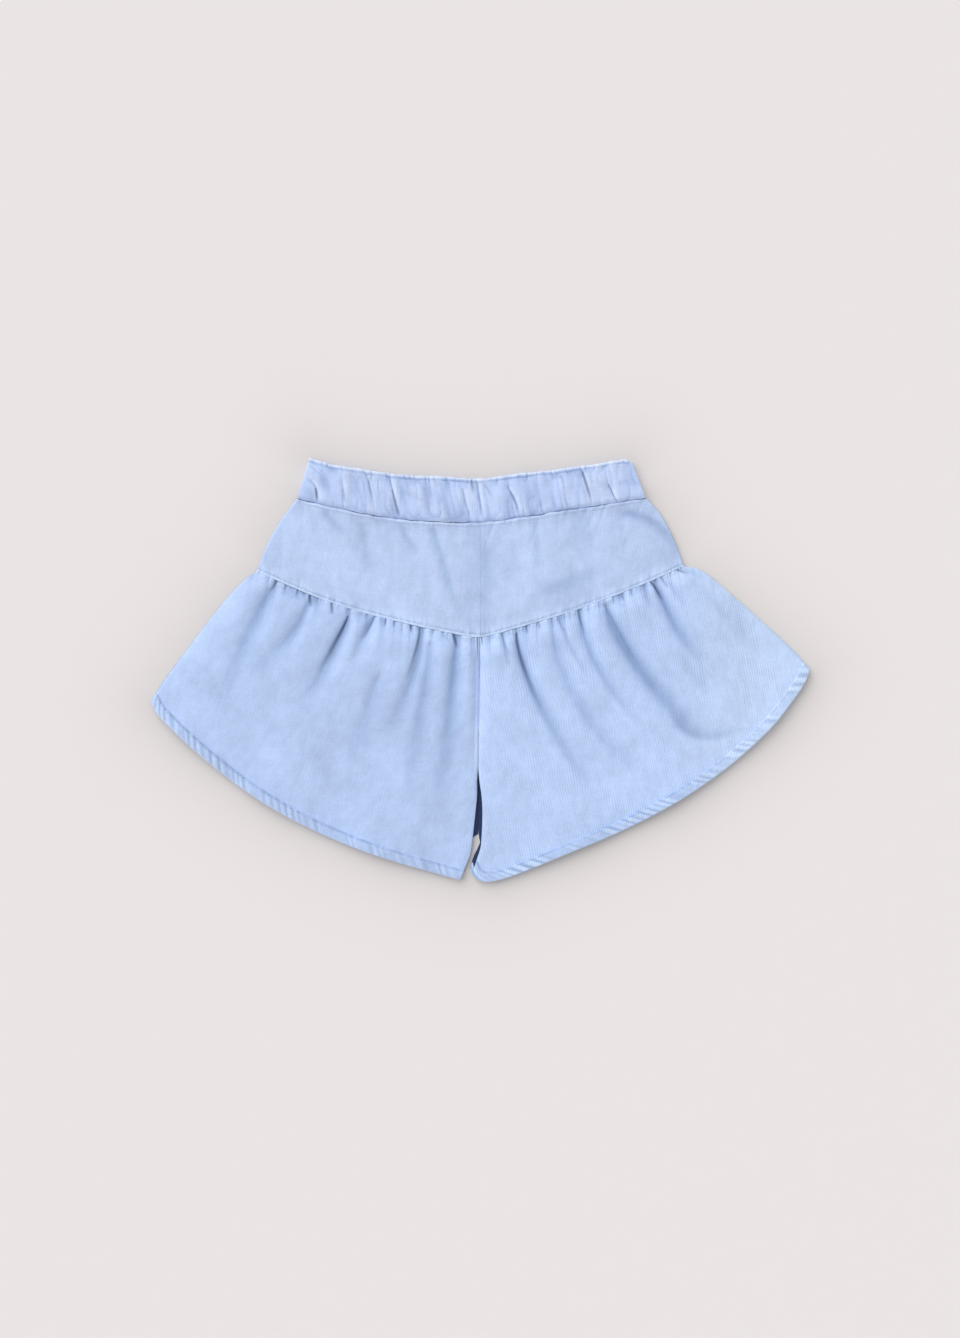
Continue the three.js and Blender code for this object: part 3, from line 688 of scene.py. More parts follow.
@dataclass(frozen=True)
class Skin:
    """A mesh of quads: points in millimetres, faces, each face's material, and values at the points."""

    points: Array
    faces: Array
    slots: Array
    values: dict[str, Array]
    grain: Array

    def mesh(self, name: str, materials: Sequence[bpy.types.Material]) -> bpy.types.Object:
        """Makes the object, in metres, with its values as attributes and its grain as a UV map.

        Args:
            name: the object's name.
            materials: the materials, in the order that the slots count them.

        Returns:
            The new object at the origin, linked to the scene.
        """
        mesh = bpy.data.meshes.new(name)
        mesh.vertices.add(len(self.points))
        mesh.vertices.foreach_set("co", (self.points * MM).astype(np.float32).ravel())
        mesh.loops.add(self.faces.size)
        mesh.loops.foreach_set("vertex_index", self.faces.astype(np.int32).ravel())
        mesh.polygons.add(len(self.faces))
        mesh.polygons.foreach_set("loop_start", np.arange(0, self.faces.size, 4, dtype=np.int32))
        mesh.polygons.foreach_set("material_index", self.slots.astype(np.int32))
        mesh.update(calc_edges=True)
        mesh.shade_smooth()
        mesh.set_sharp_from_angle(angle=SHARP_FROM)
        for key, value in self.values.items():
            attribute = mesh.attributes.new(key, "FLOAT", "POINT")
            attribute.data.foreach_set("value", value.astype(np.float32).ravel())
        grain = mesh.uv_layers.new(name="grain")
        grain.uv.foreach_set("vector", self.grain[self.faces.ravel()].astype(np.float32).ravel())
        for material in materials:
            mesh.materials.append(material)
        item = bpy.data.objects.new(name, mesh)
        bpy.context.scene.collection.objects.link(item)
        return item


def wrap(upper: Array, lower: Array, upper_slots: Array, lower_slots: Array) -> tuple[Array, Array, Array]:
    """Closes an upper and a lower grid of points into one skin with a rim between them.

    Args:
        upper: the upper points, columns by rows by xyz.
        lower: the lower points, in the same order.
        upper_slots: the material slot at each upper point, of which each quad takes its first corner's.
        lower_slots: the same for the lower points.

    Returns:
        All points, the quads' corners, and each quad's slot.
    """
    columns, rows = upper.shape[:2]
    index = np.arange(columns * rows).reshape(columns, rows)
    under = index + columns * rows
    quad = np.stack([index[:-1, :-1], index[1:, :-1], index[1:, 1:], index[:-1, 1:]], axis=-1).reshape(-1, 4)
    ring = np.concatenate([index[:-1, 0], index[-1, :-1], index[:0:-1, -1], index[0, :0:-1]])
    onward = np.roll(ring, -1)
    rim = np.stack([ring, ring + under[0, 0], onward + under[0, 0], onward], axis=-1)
    faces = np.concatenate([quad, quad[:, ::-1] + under[0, 0], rim])
    middle = columns // 2, rows // 2
    step_across = upper[middle[0] + 1, middle[1]] - upper[middle]
    step_down = upper[middle[0], middle[1] + 1] - upper[middle]
    if np.cross(step_across, step_down)[2] < 0:
        faces = faces[:, ::-1]
    slots = [upper_slots[:-1, :-1].ravel(), lower_slots[:-1, :-1].ravel(), np.zeros(len(rim), dtype=int)]
    slots = np.concatenate(slots)
    return np.concatenate([upper.reshape(-1, 3), lower.reshape(-1, 3)]), faces, slots


@dataclass
class ClothPanel:
    """One cut piece of denim as it lies: an outline, a height for its middle, a wall and its rims."""

    node: str
    cut: Cut
    columns: int
    rows: int
    slot: str
    flat: tuple[float, float]
    flat_area: float
    rests_on: tuple[str, ...] = ()
    held: str = "laid"
    layer: Layer = Layer.FRONT
    wall: float = CLOTH
    washed_edge: float = 2.0
    crowding: float = 0.45

    def middle(self, place: Place) -> Array:
        """The height of the middle of the wall at each point."""
        raise NotImplementedError

    def thickness(self, place: Place) -> Array:
        """The wall's thickness at each point."""
        return np.full(place.x.shape, self.wall)

    def rims(self, place: Place) -> tuple[Array, Array]:
        """How much of half the wall stands above and below the middle, from -1 to 1, so edges are round."""
        raise NotImplementedError

    def fade(self, place: Place) -> Array:
        """How much the cloth is whitened, from 0 to 1: by the wash, and in places as painted highlight."""
        return np.zeros(place.x.shape)

    def shade(self, place: Place) -> Array:
        """How much painted shade each point takes, from 0 to about 1, more the further it lies into a fold.
        """
        return np.zeros(place.x.shape)

    def core(self, place: Place) -> Array:
        """How much nearly black painted shadow each point takes, further into a pinched crease where hardly
        any light comes, from 0 to 1.
        """
        return np.zeros(place.x.shape)

    def edge_shift(self, place: Place) -> Array:
        """How far points move down their column, in millimetres, where an edge is uneven."""
        return np.zeros(place.x.shape)

    def reversed(self, place: Place) -> Array:
        """Where the face that is turned inwards takes the navy painted shadow, which is not at its outer
        edge.
        """
        return place.from_outer > self.washed_edge

    def shares_down(self, lengths: Array) -> Array:
        """The share down of each row, for columns of these lengths."""
        return np.broadcast_to(np.linspace(0, 1, self.rows), (len(lengths), self.rows))

    def shares_across(self) -> Array:
        """The share across of each column, closer together at both edges."""
        even = np.linspace(0, 1, self.columns)
        return even - self.crowding * np.sin(2 * np.pi * even) / (2 * np.pi)

    def joined_rims(self, place: Place) -> tuple[Array, Array]:
        """Rims of a side seam: the front layer closes down towards the back one, and that one up."""
        closing = closed(place.from_outer, self.wall)
        full = np.ones(place.x.shape)
        return (closing, full) if self.layer is Layer.FRONT else (full, closing)

    def surface(self, u: Array, v: Array) -> tuple[Place, Array, Array]:
        """The panel over a grid of shares.

        Args:
            u: the share across, columns by one.
            v: the share down, columns by rows.

        Returns:
            The places, the upper points and the lower ones.
        """
        place = self.cut.place(u, v)
        a_little = 0.002
        ahead = self.cut.spot(u, v + a_little)
        downwards = unit(ahead - np.stack([place.x, place.y], axis=-1))
        shift = self.edge_shift(place)[..., None] * downwards
        height = self.middle(place)
        middle = np.stack([place.x + shift[..., 0], place.y + shift[..., 1], height], axis=-1)
        across, down = np.gradient(middle, axis=0), np.gradient(middle, axis=1)
        normal = unit(np.cross(across, down))
        normal = normal * np.sign(normal[..., 2:])
        above, below = self.rims(place)
        half = self.thickness(place)[..., None] / 2
        upper = middle + normal * half * above[..., None]
        lower = middle - normal * half * below[..., None]
        return place, upper, lower

    def grain(self, place: Place) -> Array:
        """Where each point lies across and along the cloth's warp, in millimetres."""
        return np.stack([place.x, place.y], axis=-1).reshape(-1, 2)

    def build(self, outside: bpy.types.Material, inside: bpy.types.Material) -> bpy.types.Object:
        """Args:
            outside: the washed face of the cloth.
            inside: the navy painted shadow for the faces turned inwards.

        Returns:
            The new piece.
        """
        u = self.shares_across()
        v = self.shares_down(self.cut.lengths(u))
        place, upper, lower = self.surface(u[:, None], v)
        outer_face, inner_face = np.zeros(place.x.shape, dtype=int), self.reversed(place).astype(int)
        slots = (outer_face, inner_face) if self.layer is Layer.FRONT else (inner_face, outer_face)
        points, faces, slots_of_faces = wrap(upper, lower, *slots)
        values = {"fade": self.fade(place), "shade": self.shade(place), "core": self.core(place)}
        doubled = {key: np.tile(value.ravel(), 2) for key, value in values.items()}
        grain = np.tile(self.grain(place), (2, 1))
        skin = Skin(points, faces, slots_of_faces, doubled, grain)
        piece = skin.mesh(f"cloth_{self.node}", [outside, inside])
        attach(piece, "root")
        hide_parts(self.node)
        LOG.info("%s: %d quads", piece.name, len(faces))
        return piece

    def declare(self, piece: bpy.types.Object, sewn: Sequence[bpy.types.Object]) -> None:
        """Reads the names of the panels this one rests on, and leaves the piece and what is sewn on it as
        they are.
        """
        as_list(self.rests_on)


@dataclass
class Waistband(ClothPanel):
    """The waistband's front or back half: two layers of denim round an elastic, puckered by it.

    Distances are in millimetres, and levels are heights over the panel's rest or shares of white and shade.
    """

    wall: float = BAND
    folds: list[Fold] = field(default_factory=lambda: folds_from(BAND_CREASES))
    pinches: list[Fold] = field(default_factory=lambda: folds_from(PINCHES_BAND))
    lean: float = -0.3
    seam_dip: float = 0.2
    seam_pucker: float = 0.35
    seam_slope: float = 3.2
    ripple_low: float = 0.45
    ripple_turn: float = 0.34
    ripple_beat: float = 0.115
    pucker_slant: float = 0.18
    pucker_power: float = 0.8
    pucker_level: float = 0.4
    pucker_inside: float = 0.5
    pucker_at_edges: float = 1.35
    pucker_reach_top: float = 6.0
    pucker_reach_seam: float = 5.0
    fine: Unevenness = Unevenness(11, 3.4, lengthwise=0.3)
    broad: Unevenness = Unevenness(12, 8.0, 0.8, lengthwise=0.6)
    top_waver: Unevenness = Unevenness(13, 4.0, 0.35)
    patches: Unevenness = Unevenness(14, 3.6, 0.5)
    seam_patches: Unevenness = Unevenness(15, 7.0)
    tuck_waver: Unevenness = Unevenness(16, 3.2, 0.3)
    tuck: float = 0.5
    top_groove: Mark = Mark(2.3, 0.6, 0.25)
    white_top: Mark = Mark(0.0, 1.0, 0.95)
    white_ends: Mark = Mark(0.0, 1.1, 0.45)
    white_seam: Mark = Mark(0.0, 0.9, 0.7)
    dark_stitching: Mark = Mark(2.5, 0.7, 1.4)
    dark_seam: Mark = Mark(0.7, 0.8, 0.7)
    # Whitening on the puckers' ridges is wear and painted highlight; beside the creases it is painted
    # highlight
    ridge_wear_and_highlight: float = 0.42
    painted_highlight_beside_creases: float = 0.6
    # Painted shade in the creases and in the puckers' hollows
    dark_creases: float = 1.05
    dark_hollows: float = 0.6
    pinch_depth: float = 0.4
    # Strength of the nearly black painted shadow in the sharpest parts of the creases
    pinch_core: float = 0.85
    shade_narrow: float = 0.45
    lit_narrow: float = 0.4
    waver_reach: float = 2.0

    def reversed(self, place: Place) -> Array:
        """The band is folded over, so both of its faces show the washed side and neither takes the navy
        painted shadow.
        """
        return np.zeros(place.x.shape, dtype=bool)

    def middle(self, place: Place) -> Array:
        """The band lies flat behind, and in front it ripples and creases as the elastic draws it in."""
        if self.layer is Layer.BACK:
            return np.full(place.x.shape, self.wall / 2)
        rest = self.wall * 1.5 + LAYER_GAP
        ends = shoulder(place.from_ends, BAND_ROLL)
        ripple = 0.5 + 0.5 * np.sin(place.x * self.ripple_turn) * np.cos(place.x * self.ripple_beat + 1)
        crease = pressed(self.folds, place.x, place.y, lean=self.lean)
        puckers = self.puckers(place)
        height = rest + ends * (BAND_HOLLOW * lerp(self.ripple_low, 1, ripple) * (1 - crease) + puckers)
        at_seam = rest - self.seam_dip + self.seam_pucker * ends * np.maximum(puckers, 0)
        return lerp(at_seam, height, smoothstep(place.from_bottom, 0, self.seam_slope))

    def puckers(self, place: Place) -> Array:
        """Small irregular ridges across the band, stronger towards both rows of stitching."""
        slanted = place.x - place.from_top * self.pucker_slant
        fine = np.abs(self.fine.on(slanted, place.from_top)) ** self.pucker_power
        broad = self.broad.on(slanted, place.from_top)
        edge = decay(place.from_top, self.pucker_reach_top) + decay(place.from_bottom, self.pucker_reach_seam)
        strength = self.pucker_inside + self.pucker_at_edges * edge
        return strength * (fine - self.pucker_level) + broad - self.top_groove.on(place.from_top)

    def rims(self, place: Place) -> tuple[Array, Array]:
        """A round fold along the top, a tucked edge along the seam, and closed sides."""
        tuck = self.tuck + self.tuck_waver.on(place.x)
        edge = np.minimum(rounded(place.from_top, self.wall / 2), rounded(place.from_bottom, tuck))
        edge = np.maximum(edge, THIN_RIM) * (1 - self.pinch_depth * pressed(self.pinches, place.x, place.y))
        side = closed(place.from_ends, self.wall / 2)
        full = np.ones(place.x.shape)
        above, below = (side, full) if self.layer is Layer.FRONT else (full, side)
        if self.layer is Layer.BACK:
            below = below * sunk(place.from_top, BAND_STITCHING, self.wall)
        return np.minimum(above, edge), np.minimum(below, edge)

    def fade(self, place: Place) -> Array:
        """White along the top fold and in places along the seam; wear and painted highlight on the puckers'
        ridges, and painted highlight on the lit side of each crease.
        """
        lit = pressed(self.folds, place.x - LIT_SIDE, place.y, narrow=self.lit_narrow, fade=SHADE_FADE)
        ridges = self.ridge_wear_and_highlight * np.maximum(self.puckers(place), 0) + self.painted_highlight_beside_creases * lit
        seam = self.white_seam.on(place.from_bottom) * np.clip(self.seam_patches.on(place.x), 0, 1)
        return np.clip(
            self.white_top.on(place.from_top) + self.white_ends.on(place.from_ends) + ridges + seam, 0, 1
        )

    def shade(self, place: Place) -> Array:
        """Painted shade in the creases, in the grooves beside the edge stitching and the seam, darker in
        places, and in the puckers' hollows.
        """
        crease = pressed(self.folds, place.x, place.y, self.lean, self.shade_narrow, SHADE_FADE)
        patchy = 0.5 + self.patches.on(place.x)
        lines = patchy * (self.dark_stitching.on(place.from_top) + self.dark_seam.on(place.from_bottom))
        hollow = np.clip(-self.puckers(place), 0, 1)
        return np.clip(self.dark_creases * crease + lines + self.dark_hollows * hollow, 0, 1)

    def core(self, place: Place) -> Array:
        """Nearly black painted shadow in the sharpest parts of the creases, in front alone."""
        if self.layer is Layer.BACK:
            return np.zeros(place.x.shape)
        return self.pinch_core * pressed(self.pinches, place.x, place.y)

    def edge_shift(self, place: Place) -> Array:
        """The top edge and the seam both waver a little."""
        top_edge = self.top_waver.on(place.x) * decay(place.from_top, self.waver_reach)
        return band_seam_waver(place.x, place.from_bottom) - top_edge


@dataclass
class Yoke(ClothPanel):
    """One of the four yoke panels, from the waistband to the V-shaped seam, over its seam allowance.

    Distances are in millimetres, and levels are heights over the panel's rest or shares of white and shade.
    """

    hand: Hand = Hand.LEFT
    folds: list[Fold] = field(default_factory=lambda: folds_from(YOKE_CREASES))
    lean: float = -0.2
    soft: Unevenness = Unevenness(21, 23.0, 0.7, lengthwise=0.6)
    fine: Unevenness = Unevenness(22, 7.0, 0.22, lengthwise=0.7)
    puckered: Unevenness = Unevenness(23, 2.6, lengthwise=0.15)
    gathered: Unevenness = Unevenness(24, 6.5, lengthwise=0.1)
    white_patches: Unevenness = Unevenness(25, 4.0, 0.35)
    dark_patches: Unevenness = Unevenness(26, 2.2, 0.4)
    seam_waver: Unevenness = Unevenness(27, 5.0, 0.3)
    needled: Unevenness = Unevenness(28, 1.5, 1.3, lengthwise=0.12)
    needle_reach: float = 3.6
    pucker_height: float = 0.6
    pucker_level: float = 0.4
    gather_slant: float = 0.35
    gather_power: float = 0.7
    gather_level: float = 0.5
    gather_reach: float = 13.0
    pucker_reach_v_seam: float = 5.0
    pucker_reach_band: float = 6.0
    waver_reach: float = 2.5
    v_seam_radius: float = 0.35
    band_seam_radius: float = 0.6
    ridge_at_v_seam: float = 0.25
    ridge_at_band: float = 0.75
    ridge_at_centre: float = 0.2
    v_seam_ridge: Span = (2.2, 4.0)
    band_ridge: Span = (1.4, 2.8)
    centre_ridge: Span = (1.8, 4.6)
    stitch_groove: Mark = Mark(YOKE_STITCHING, 0.5, -0.35)
    white_v_seam: Mark = Mark(0.4, 0.8, 1.3)
    white_band_seam: Mark = Mark(0.9, 0.9, 0.8)
    white_side: Mark = Mark(0.0, 1.2, 0.35)
    white_level: float = 0.65
    white_allowance: float = 0.12
    allowance_shows: Span = (2.5, 9.0)
    # Painted highlight on the needle marks
    painted_needle_highlight: float = 0.4
    dark_stitching: Mark = Mark(YOKE_STITCHING, 0.75, 1.5)
    dark_centre: Mark = Mark(0.0, 1.0, 0.05)
    dark_beside_centre: float = 0.12
    beside_centre: Span = (2.0, 9.0)
    dark_level: float = 0.6
    # Painted shade in the soft creases, in the hollows and on the needle marks
    shade_narrow: float = 0.72
    dark_creases: float = 1.4
    dark_hollows: float = 0.5
    painted_needle_shade: float = 0.4

    def middle(self, place: Place) -> Array:
        """The front yoke is slightly crowned, and rises to the seams above and below it."""
        if self.layer is Layer.BACK:
            return np.full(place.x.shape, self.wall / 2)
        rest = self.wall * 1.5 + LAYER_GAP
        inside = shoulder(place.from_outer, SIDE_ROLL)
        to_band = falling(place.from_top, 0, SEAM_SLOPE)
        to_leg = falling(place.from_bottom, 0, SEAM_SLOPE)
        crowned = YOKE_HOLLOW * (1 - pressed(self.folds, place.x, place.y, lean=self.lean))
        at_seam = np.maximum(BAND_SEAM_RISE * to_band, YOKE_SEAM_RISE * to_leg)
        level = lerp(crowned, at_seam, np.maximum(to_band, to_leg))
        height = rest + (level + self.relief(place)) * lerp(inside, 1, CENTRE_PRESS * to_band)
        return height + self.seam_ridges(place) * inside

    def relief(self, place: Place) -> Array:
        """Soft unevenness of laid cloth, small puckers beside both seams and gathers under the band."""
        soft = self.soft.on(place.x, place.y) + self.fine.on(place.x, place.y)
        near_seams = decay(place.from_bottom, self.pucker_reach_v_seam)
        near_seams = near_seams + decay(place.from_top, self.pucker_reach_band)
        pucker = np.abs(self.puckered.on(place.x, place.y)) - self.pucker_level
        slanted = place.x + self.gather_slant * np.sign(place.x) * place.from_top
        gather = np.abs(self.gathered.on(slanted, place.y)) ** self.gather_power - self.gather_level
        gathers = gather * decay(place.from_top, self.gather_reach)
        return soft + self.pucker_height * pucker * near_seams + gathers

    def needle_puckers(self, place: Place) -> Array:
        """Hair-fine marks across the topstitching, where each stitch draws the cloth in, painted as light and
        shade alone.
        """
        beyond = np.maximum(place.from_bottom - YOKE_STITCHING, 0)
        return self.needled.on(place.x, place.y) * bell(beyond, self.needle_reach)

    def seam_ridges(self, place: Place) -> Array:
        """The seam allowances' thickness under the cloth, at the V seam, the band and the centre seam."""
        v_seam = self.ridge_at_v_seam * falling(place.from_bottom, *self.v_seam_ridge)
        band_seam = self.ridge_at_band * falling(place.from_top, *self.band_ridge)
        ridges = v_seam + band_seam + self.stitch_groove.on(place.from_bottom)
        if self.hand is Hand.RIGHT:
            ridges = ridges + self.ridge_at_centre * falling(place.from_inner, *self.centre_ridge)
        return ridges

    def edge_shift(self, place: Place) -> Array:
        """Both seams waver where the cloth beside them puckers."""
        v_seam = self.seam_waver.on(place.x) * decay(place.from_bottom, self.waver_reach)
        return band_seam_waver(place.x, place.from_top) + v_seam

    def rims(self, place: Place) -> tuple[Array, Array]:
        """A folded edge on the V seam and the band, and closed sides."""
        v_seam = rounded(place.from_bottom, self.v_seam_radius)
        edge = np.minimum(v_seam, rounded(place.from_top, self.band_seam_radius))
        above, below = self.joined_rims(place)
        if self.layer is Layer.BACK:
            below = below * sunk(place.from_bottom, YOKE_STITCHING, self.wall)
        edge = np.maximum(edge, THIN_RIM)
        return np.minimum(above, edge), np.minimum(below, edge)

    def fade(self, place: Place) -> Array:
        """White along the folded edges, faintly where the allowance shows through, and painted highlight on
        the needle marks.
        """
        band = (self.white_level + self.white_patches.on(place.x)) * self.white_band_seam.on(place.from_top)
        edges = self.white_v_seam.on(place.from_bottom) + band + self.white_side.on(place.from_outer)
        allowance = self.white_allowance * falling(place.from_bottom, *self.allowance_shows)
        needled = self.painted_needle_highlight * np.clip(self.needle_puckers(place), 0, 1)
        return np.clip(edges + allowance + needled, 0, 1)

    def shade(self, place: Place) -> Array:
        """Painted shade in the soft creases, along the topstitching, beside the centre seam, in the hollows
        and on the needle marks.
        """
        crease = pressed(self.folds, place.x, place.y, self.lean, self.shade_narrow, SHADE_FADE)
        patchy = self.dark_level + self.dark_patches.on(place.x)
        stitching = patchy * self.dark_stitching.on(place.from_bottom)
        centre = self.dark_centre.on(place.from_inner)
        if self.hand is Hand.RIGHT:
            centre = centre + self.dark_beside_centre * falling(place.from_inner, *self.beside_centre)
        hollow = self.dark_hollows * np.clip(-self.relief(place), 0, 1)
        needled = self.painted_needle_shade * np.clip(-self.needle_puckers(place), 0, 1)
        return np.clip(self.dark_creases * crease + stitching + centre + hollow + needled, 0, 1)


@dataclass
class Leg(ClothPanel):
    """One of the four leg panels, gathered into the V seam and flared to a turned, puckered hem.

    Distances are in millimetres. Marks on the hem are measured from its turned-in edge, below zero towards
    the fold at the bottom.
    """

    hand: Hand = Hand.LEFT
    folds: list[Fold] = field(default_factory=list)
    shades: list[Fold] = field(default_factory=list)
    pinches: list[Fold] = field(default_factory=list)
    hem_height: float = HEM_HEIGHT
    tuck: float = 1.8
    tuck_rise: float = 0.7
    rope_pitch: float = 6.3
    rope_slant: float = 0.9
    rope_depth: float = 1.0
    rope_height: float = 0.24
    rope_edge: float = 0.28
    rope_edge_reach: float = 2.0
    lean: float = 0.35
    seam_level: float = 1.9
    gather_height: float = 1.35
    back_gather_drift: float = 0.35
    gather_spread: float = 0.0011
    soft_spread: float = 0.0022
    small_reach: float = 3.4
    larger_reach: float = 9.5
    pinch_reach: float = 3.2
    ridge_reach: float = 9.0
    least_puff: float = -0.1
    hem_rows: int = 15
    hem_margin: float = 1.5
    hem_radius: float = 1.1
    inner_radius: float = 0.25
    lap_rise: float = 0.4
    lap_level: float = 0.1
    lap_edge: Span = (1.8, 2.8)
    lap_ends: Span = (78.0, 105.0)
    lift_rises: Span = (0.0, 16.0)
    lift_falls: Span = (30.0, 96.0)
    puff_falls: Span = (38.0, 125.0)
    waves_rise: Span = (50.0, 135.0)
    gather_falls: Span = (14.0, 78.0)
    tucked_to_free: Span = (-0.3, 1.1)
    hem_step: Span = (-0.6, 0.5)
    hem_look: Span = (-0.6, 0.6)
    hem_roping: Span = (-0.8, 0.6)
    seed: int = LEFT_SEED
    hem_groove: Mark = Mark(-0.9, 0.6, 0.42)
    hem_draw: Mark = Mark(0.6, 2.4, 0.12)
    sunk_centre: Mark = Mark(0.0, 0.9, 0.15)
    # The hem's edge is whitened by wear and lighter still as painted highlight
    hem_edge_wear_and_highlight: Mark = Mark(0.0, 0.7, 0.8)
    white_side: Mark = Mark(0.0, 1.3, 0.35)
    white_hem_line: Mark = Mark(0.7, 0.7, 0.12)
    white_lap: Mark = Mark(1.6, 0.7, 0.75)
    # Painted light on the right leg beside the lap, where the lap's shadow falls
    painted_light_beside_lap: Mark = Mark(1.6, 2.0, 0.35)
    white_ropes: float = 0.5
    # Whitening on the gathers' ridges is wear and painted highlight
    ridge_wear_and_highlight: float = 0.7
    # Lighter towards the far right
    lighter_far_right: float = 0.35
    far_right: Span = (125.0, 190.0)
    # Painted shade in the hem's groove, at the slit, in the folds, strokes and gathers, and between the ropes
    dark_hem_line: Mark = Mark(-0.4, 0.7, 1.15)
    dark_turned_in: Mark = Mark(0.0, 1.5, 0.9)
    slit_opens: Span = (78.0, 96.0)
    slit_meets: Span = (108.0, 116.0)
    dark_most: float = 1.1
    dark_level: float = 0.6
    shade_narrow: float = 0.66
    dark_folds: float = 0.9
    dark_strokes: float = 0.55
    dark_gathers: float = 1.6
    dark_ropes: float = 0.95
    dark_hem: float = 0.22
    # Nearly black painted shadow at the left leg's centre edge, in the pinches and in the gathers' cores
    core_centre: Mark = Mark(0.0, 0.5, 0.35)
    core_pinches: float = 0.95
    core_gathers: float = 0.6
    core_ends: Span = (12.0, 55.0)
    pinched: Span = (0.45, 1.2)
    pinch_depth: float = 0.8

    def shares_down(self, lengths: Array) -> Array:
        """Rows under the yoke's edge, then close together below it, and again in the hem."""
        tucked = -np.array([[self.tuck, self.tuck / 2]]) / lengths[:, None]
        hem = self.hem_height + self.hem_margin
        body = (1 - hem / lengths)[:, None]
        count = self.rows - self.hem_rows - 2
        ease = np.linspace(0, 1, count, endpoint=False)[None, :] ** 1.45
        band = 1 - np.linspace(1, 0, self.hem_rows)[None, :] ** 1.2 * (hem / lengths)[:, None]
        return np.concatenate([tucked, body * ease, band], axis=1)

    def middle(self, place: Place) -> Array:
        """Both layers lift together under the gathers, and the front puffs up between its folds as well."""
        broad = [fold.eased() for fold in self.folds if fold.end_width >= BROAD_FOLD]
        inside = shoulder(place.from_outer, SIDE_ROLL)
        lift = LEG_LIFT * inside * shoulder(place.from_inner, CENTRE_ROLL)
        lift *= smoothstep(place.from_top, *self.lift_rises) * falling(place.from_top, *self.lift_falls)
        lift *= 1 - LIFT_PRESS * pressed(broad, place.x, place.y)
        if self.layer is Layer.BACK:
            gathered = lerp(BACK_PLAIN_LIFT, BACK_GATHER_LIFT, self.back_gather(place))
            return self.thickness(place) / 2 + lift * gathered
        inside = inside * lerp(CENTRE_PRESS, 1, shoulder(place.from_inner, CENTRE_ROLL))
        height = self.thickness(place) * 1.5 + LAYER_GAP + inside * self.puff(place) + lift
        height += self.hem_rope(place) + self.centre_ridge(place) * smoothstep(place.from_outer, 0, 6)
        tucked_height = CLOTH * 1.5 + LAYER_GAP + self.tuck_rise
        return lerp(tucked_height, height, smoothstep(place.from_top, *self.tucked_to_free))

    def grain(self, place: Place) -> Array:
        """The left leg's threads fan out with its gathers, and the right leg's all run down."""
        if self.hand is Hand.RIGHT:
            return super().grain(place)
        return np.stack([place.from_outer, place.from_top], axis=-1).reshape(-1, 2)

    def back_gather(self, place: Place) -> Array:
        """The back's own small gathers, from 0 to 1, evenly but not quite regularly spaced along its seam."""
        turns = BACK_GATHER_COUNT * place.share + self.back_gather_drift * np.sin(9 * place.share)
        fade = smoothstep(place.from_top, 0, 6) * falling(place.from_top, *self.gather_falls)
        return fade * np.clip(np.cos(2 * np.pi * turns), 0, 1) ** 2

    def puff(self, place: Place) -> Array:
        """How far the front stands off the back: full between the folds, less at the seam and the hem."""
        fold = pressed(self.folds, place.x, place.y, lean=self.lean)
        rise = smoothstep(place.from_top, 0, GATHER_PUFF)
        fade = smoothstep(place.from_top, *self.puff_falls)
        puff = LEG_HOLLOW * lerp(PUFF_AT_SEAM, 1, rise) * lerp(1, PUFF_AT_HEM, fade) * (1 - fold)
        level = lerp(puff, self.seam_level * (1 - SEAM_PRESS * fold), 1 - rise)
        wave = 0.5 - 0.5 * np.cos(2 * np.pi * HEM_WAVE_COUNT * place.share)
        level = level + HEM_WAVE * wave * smoothstep(place.from_top, *self.waves_rise)
        small, larger = self.fine_gathers(place)
        uneven = (small + larger + self.softness(place)) * (1 - 0.5 * fold)
        return np.maximum(level + uneven, self.least_puff)

    def fine_gathers(self, place: Place) -> tuple[Array, Array]:
        """Gathers under the seam, in two sizes: sharp where noise along it crosses zero, round between."""
        depth = np.maximum(place.from_top, 0)
        spread = place.x * (1 - self.gather_spread * depth)
        small = np.abs(Unevenness(self.seed, 2.4, lengthwise=0.12).on(spread, depth)) ** 0.45
        larger = np.abs(Unevenness(self.seed + 1, 5.2, lengthwise=0.06).on(spread, depth)) ** 0.55
        small, larger = self.gather_height * (small - 0.65), self.gather_height * (larger - 0.6)
        return small * decay(depth, self.small_reach), larger * decay(depth, self.larger_reach)

    def softness(self, place: Place) -> Array:
        """The soft unevenness of laid denim, in two sizes, drawn out along the gathers."""
        fan = place.x * (1 - self.soft_spread * np.maximum(place.from_top, 0))
        broad = Unevenness(self.seed + 2, 17.0, 0.62, lengthwise=0.45)
        fine = Unevenness(self.seed + 3, 6.0, 0.14, lengthwise=0.4)
        return broad.on(fan, place.from_top) + fine.on(fan, place.from_top)

    def rope(self, place: Place) -> Array:
        """The slanted roping of the washed hem: a sine along it, shifted with the height over its fold."""
        along = place.from_outer - self.hand.sign * self.rope_slant * place.from_bottom
        drift = Unevenness(self.seed + 4, 10.0, 3.4).on(along)
        strength = self.rope_depth * (0.45 + Unevenness(self.seed + 5, 7.0, 0.55).on(along))
        return strength * np.sin(2 * np.pi * along / self.rope_pitch + drift)

    def past_hem(self, place: Place) -> Array:
        """How far each point lies above the hem's turned-in edge, and below zero within the hem."""
        return place.from_bottom - self.hem_height

    def lapped(self, place: Place) -> Array:
        """1 where the legs are sewn together at the centre, falling to 0 at the slit."""
        return falling(place.from_top, *self.lap_ends)

    def hem_rope(self, place: Place) -> Array:
        """The hem's roping, which runs on a little above the hem, less a groove along its stitching."""
        past = self.past_hem(place)
        roped = self.rope_height * falling(past, *self.hem_roping) + self.hem_draw.on(past)
        return roped * self.rope(place) - self.hem_groove.on(past)

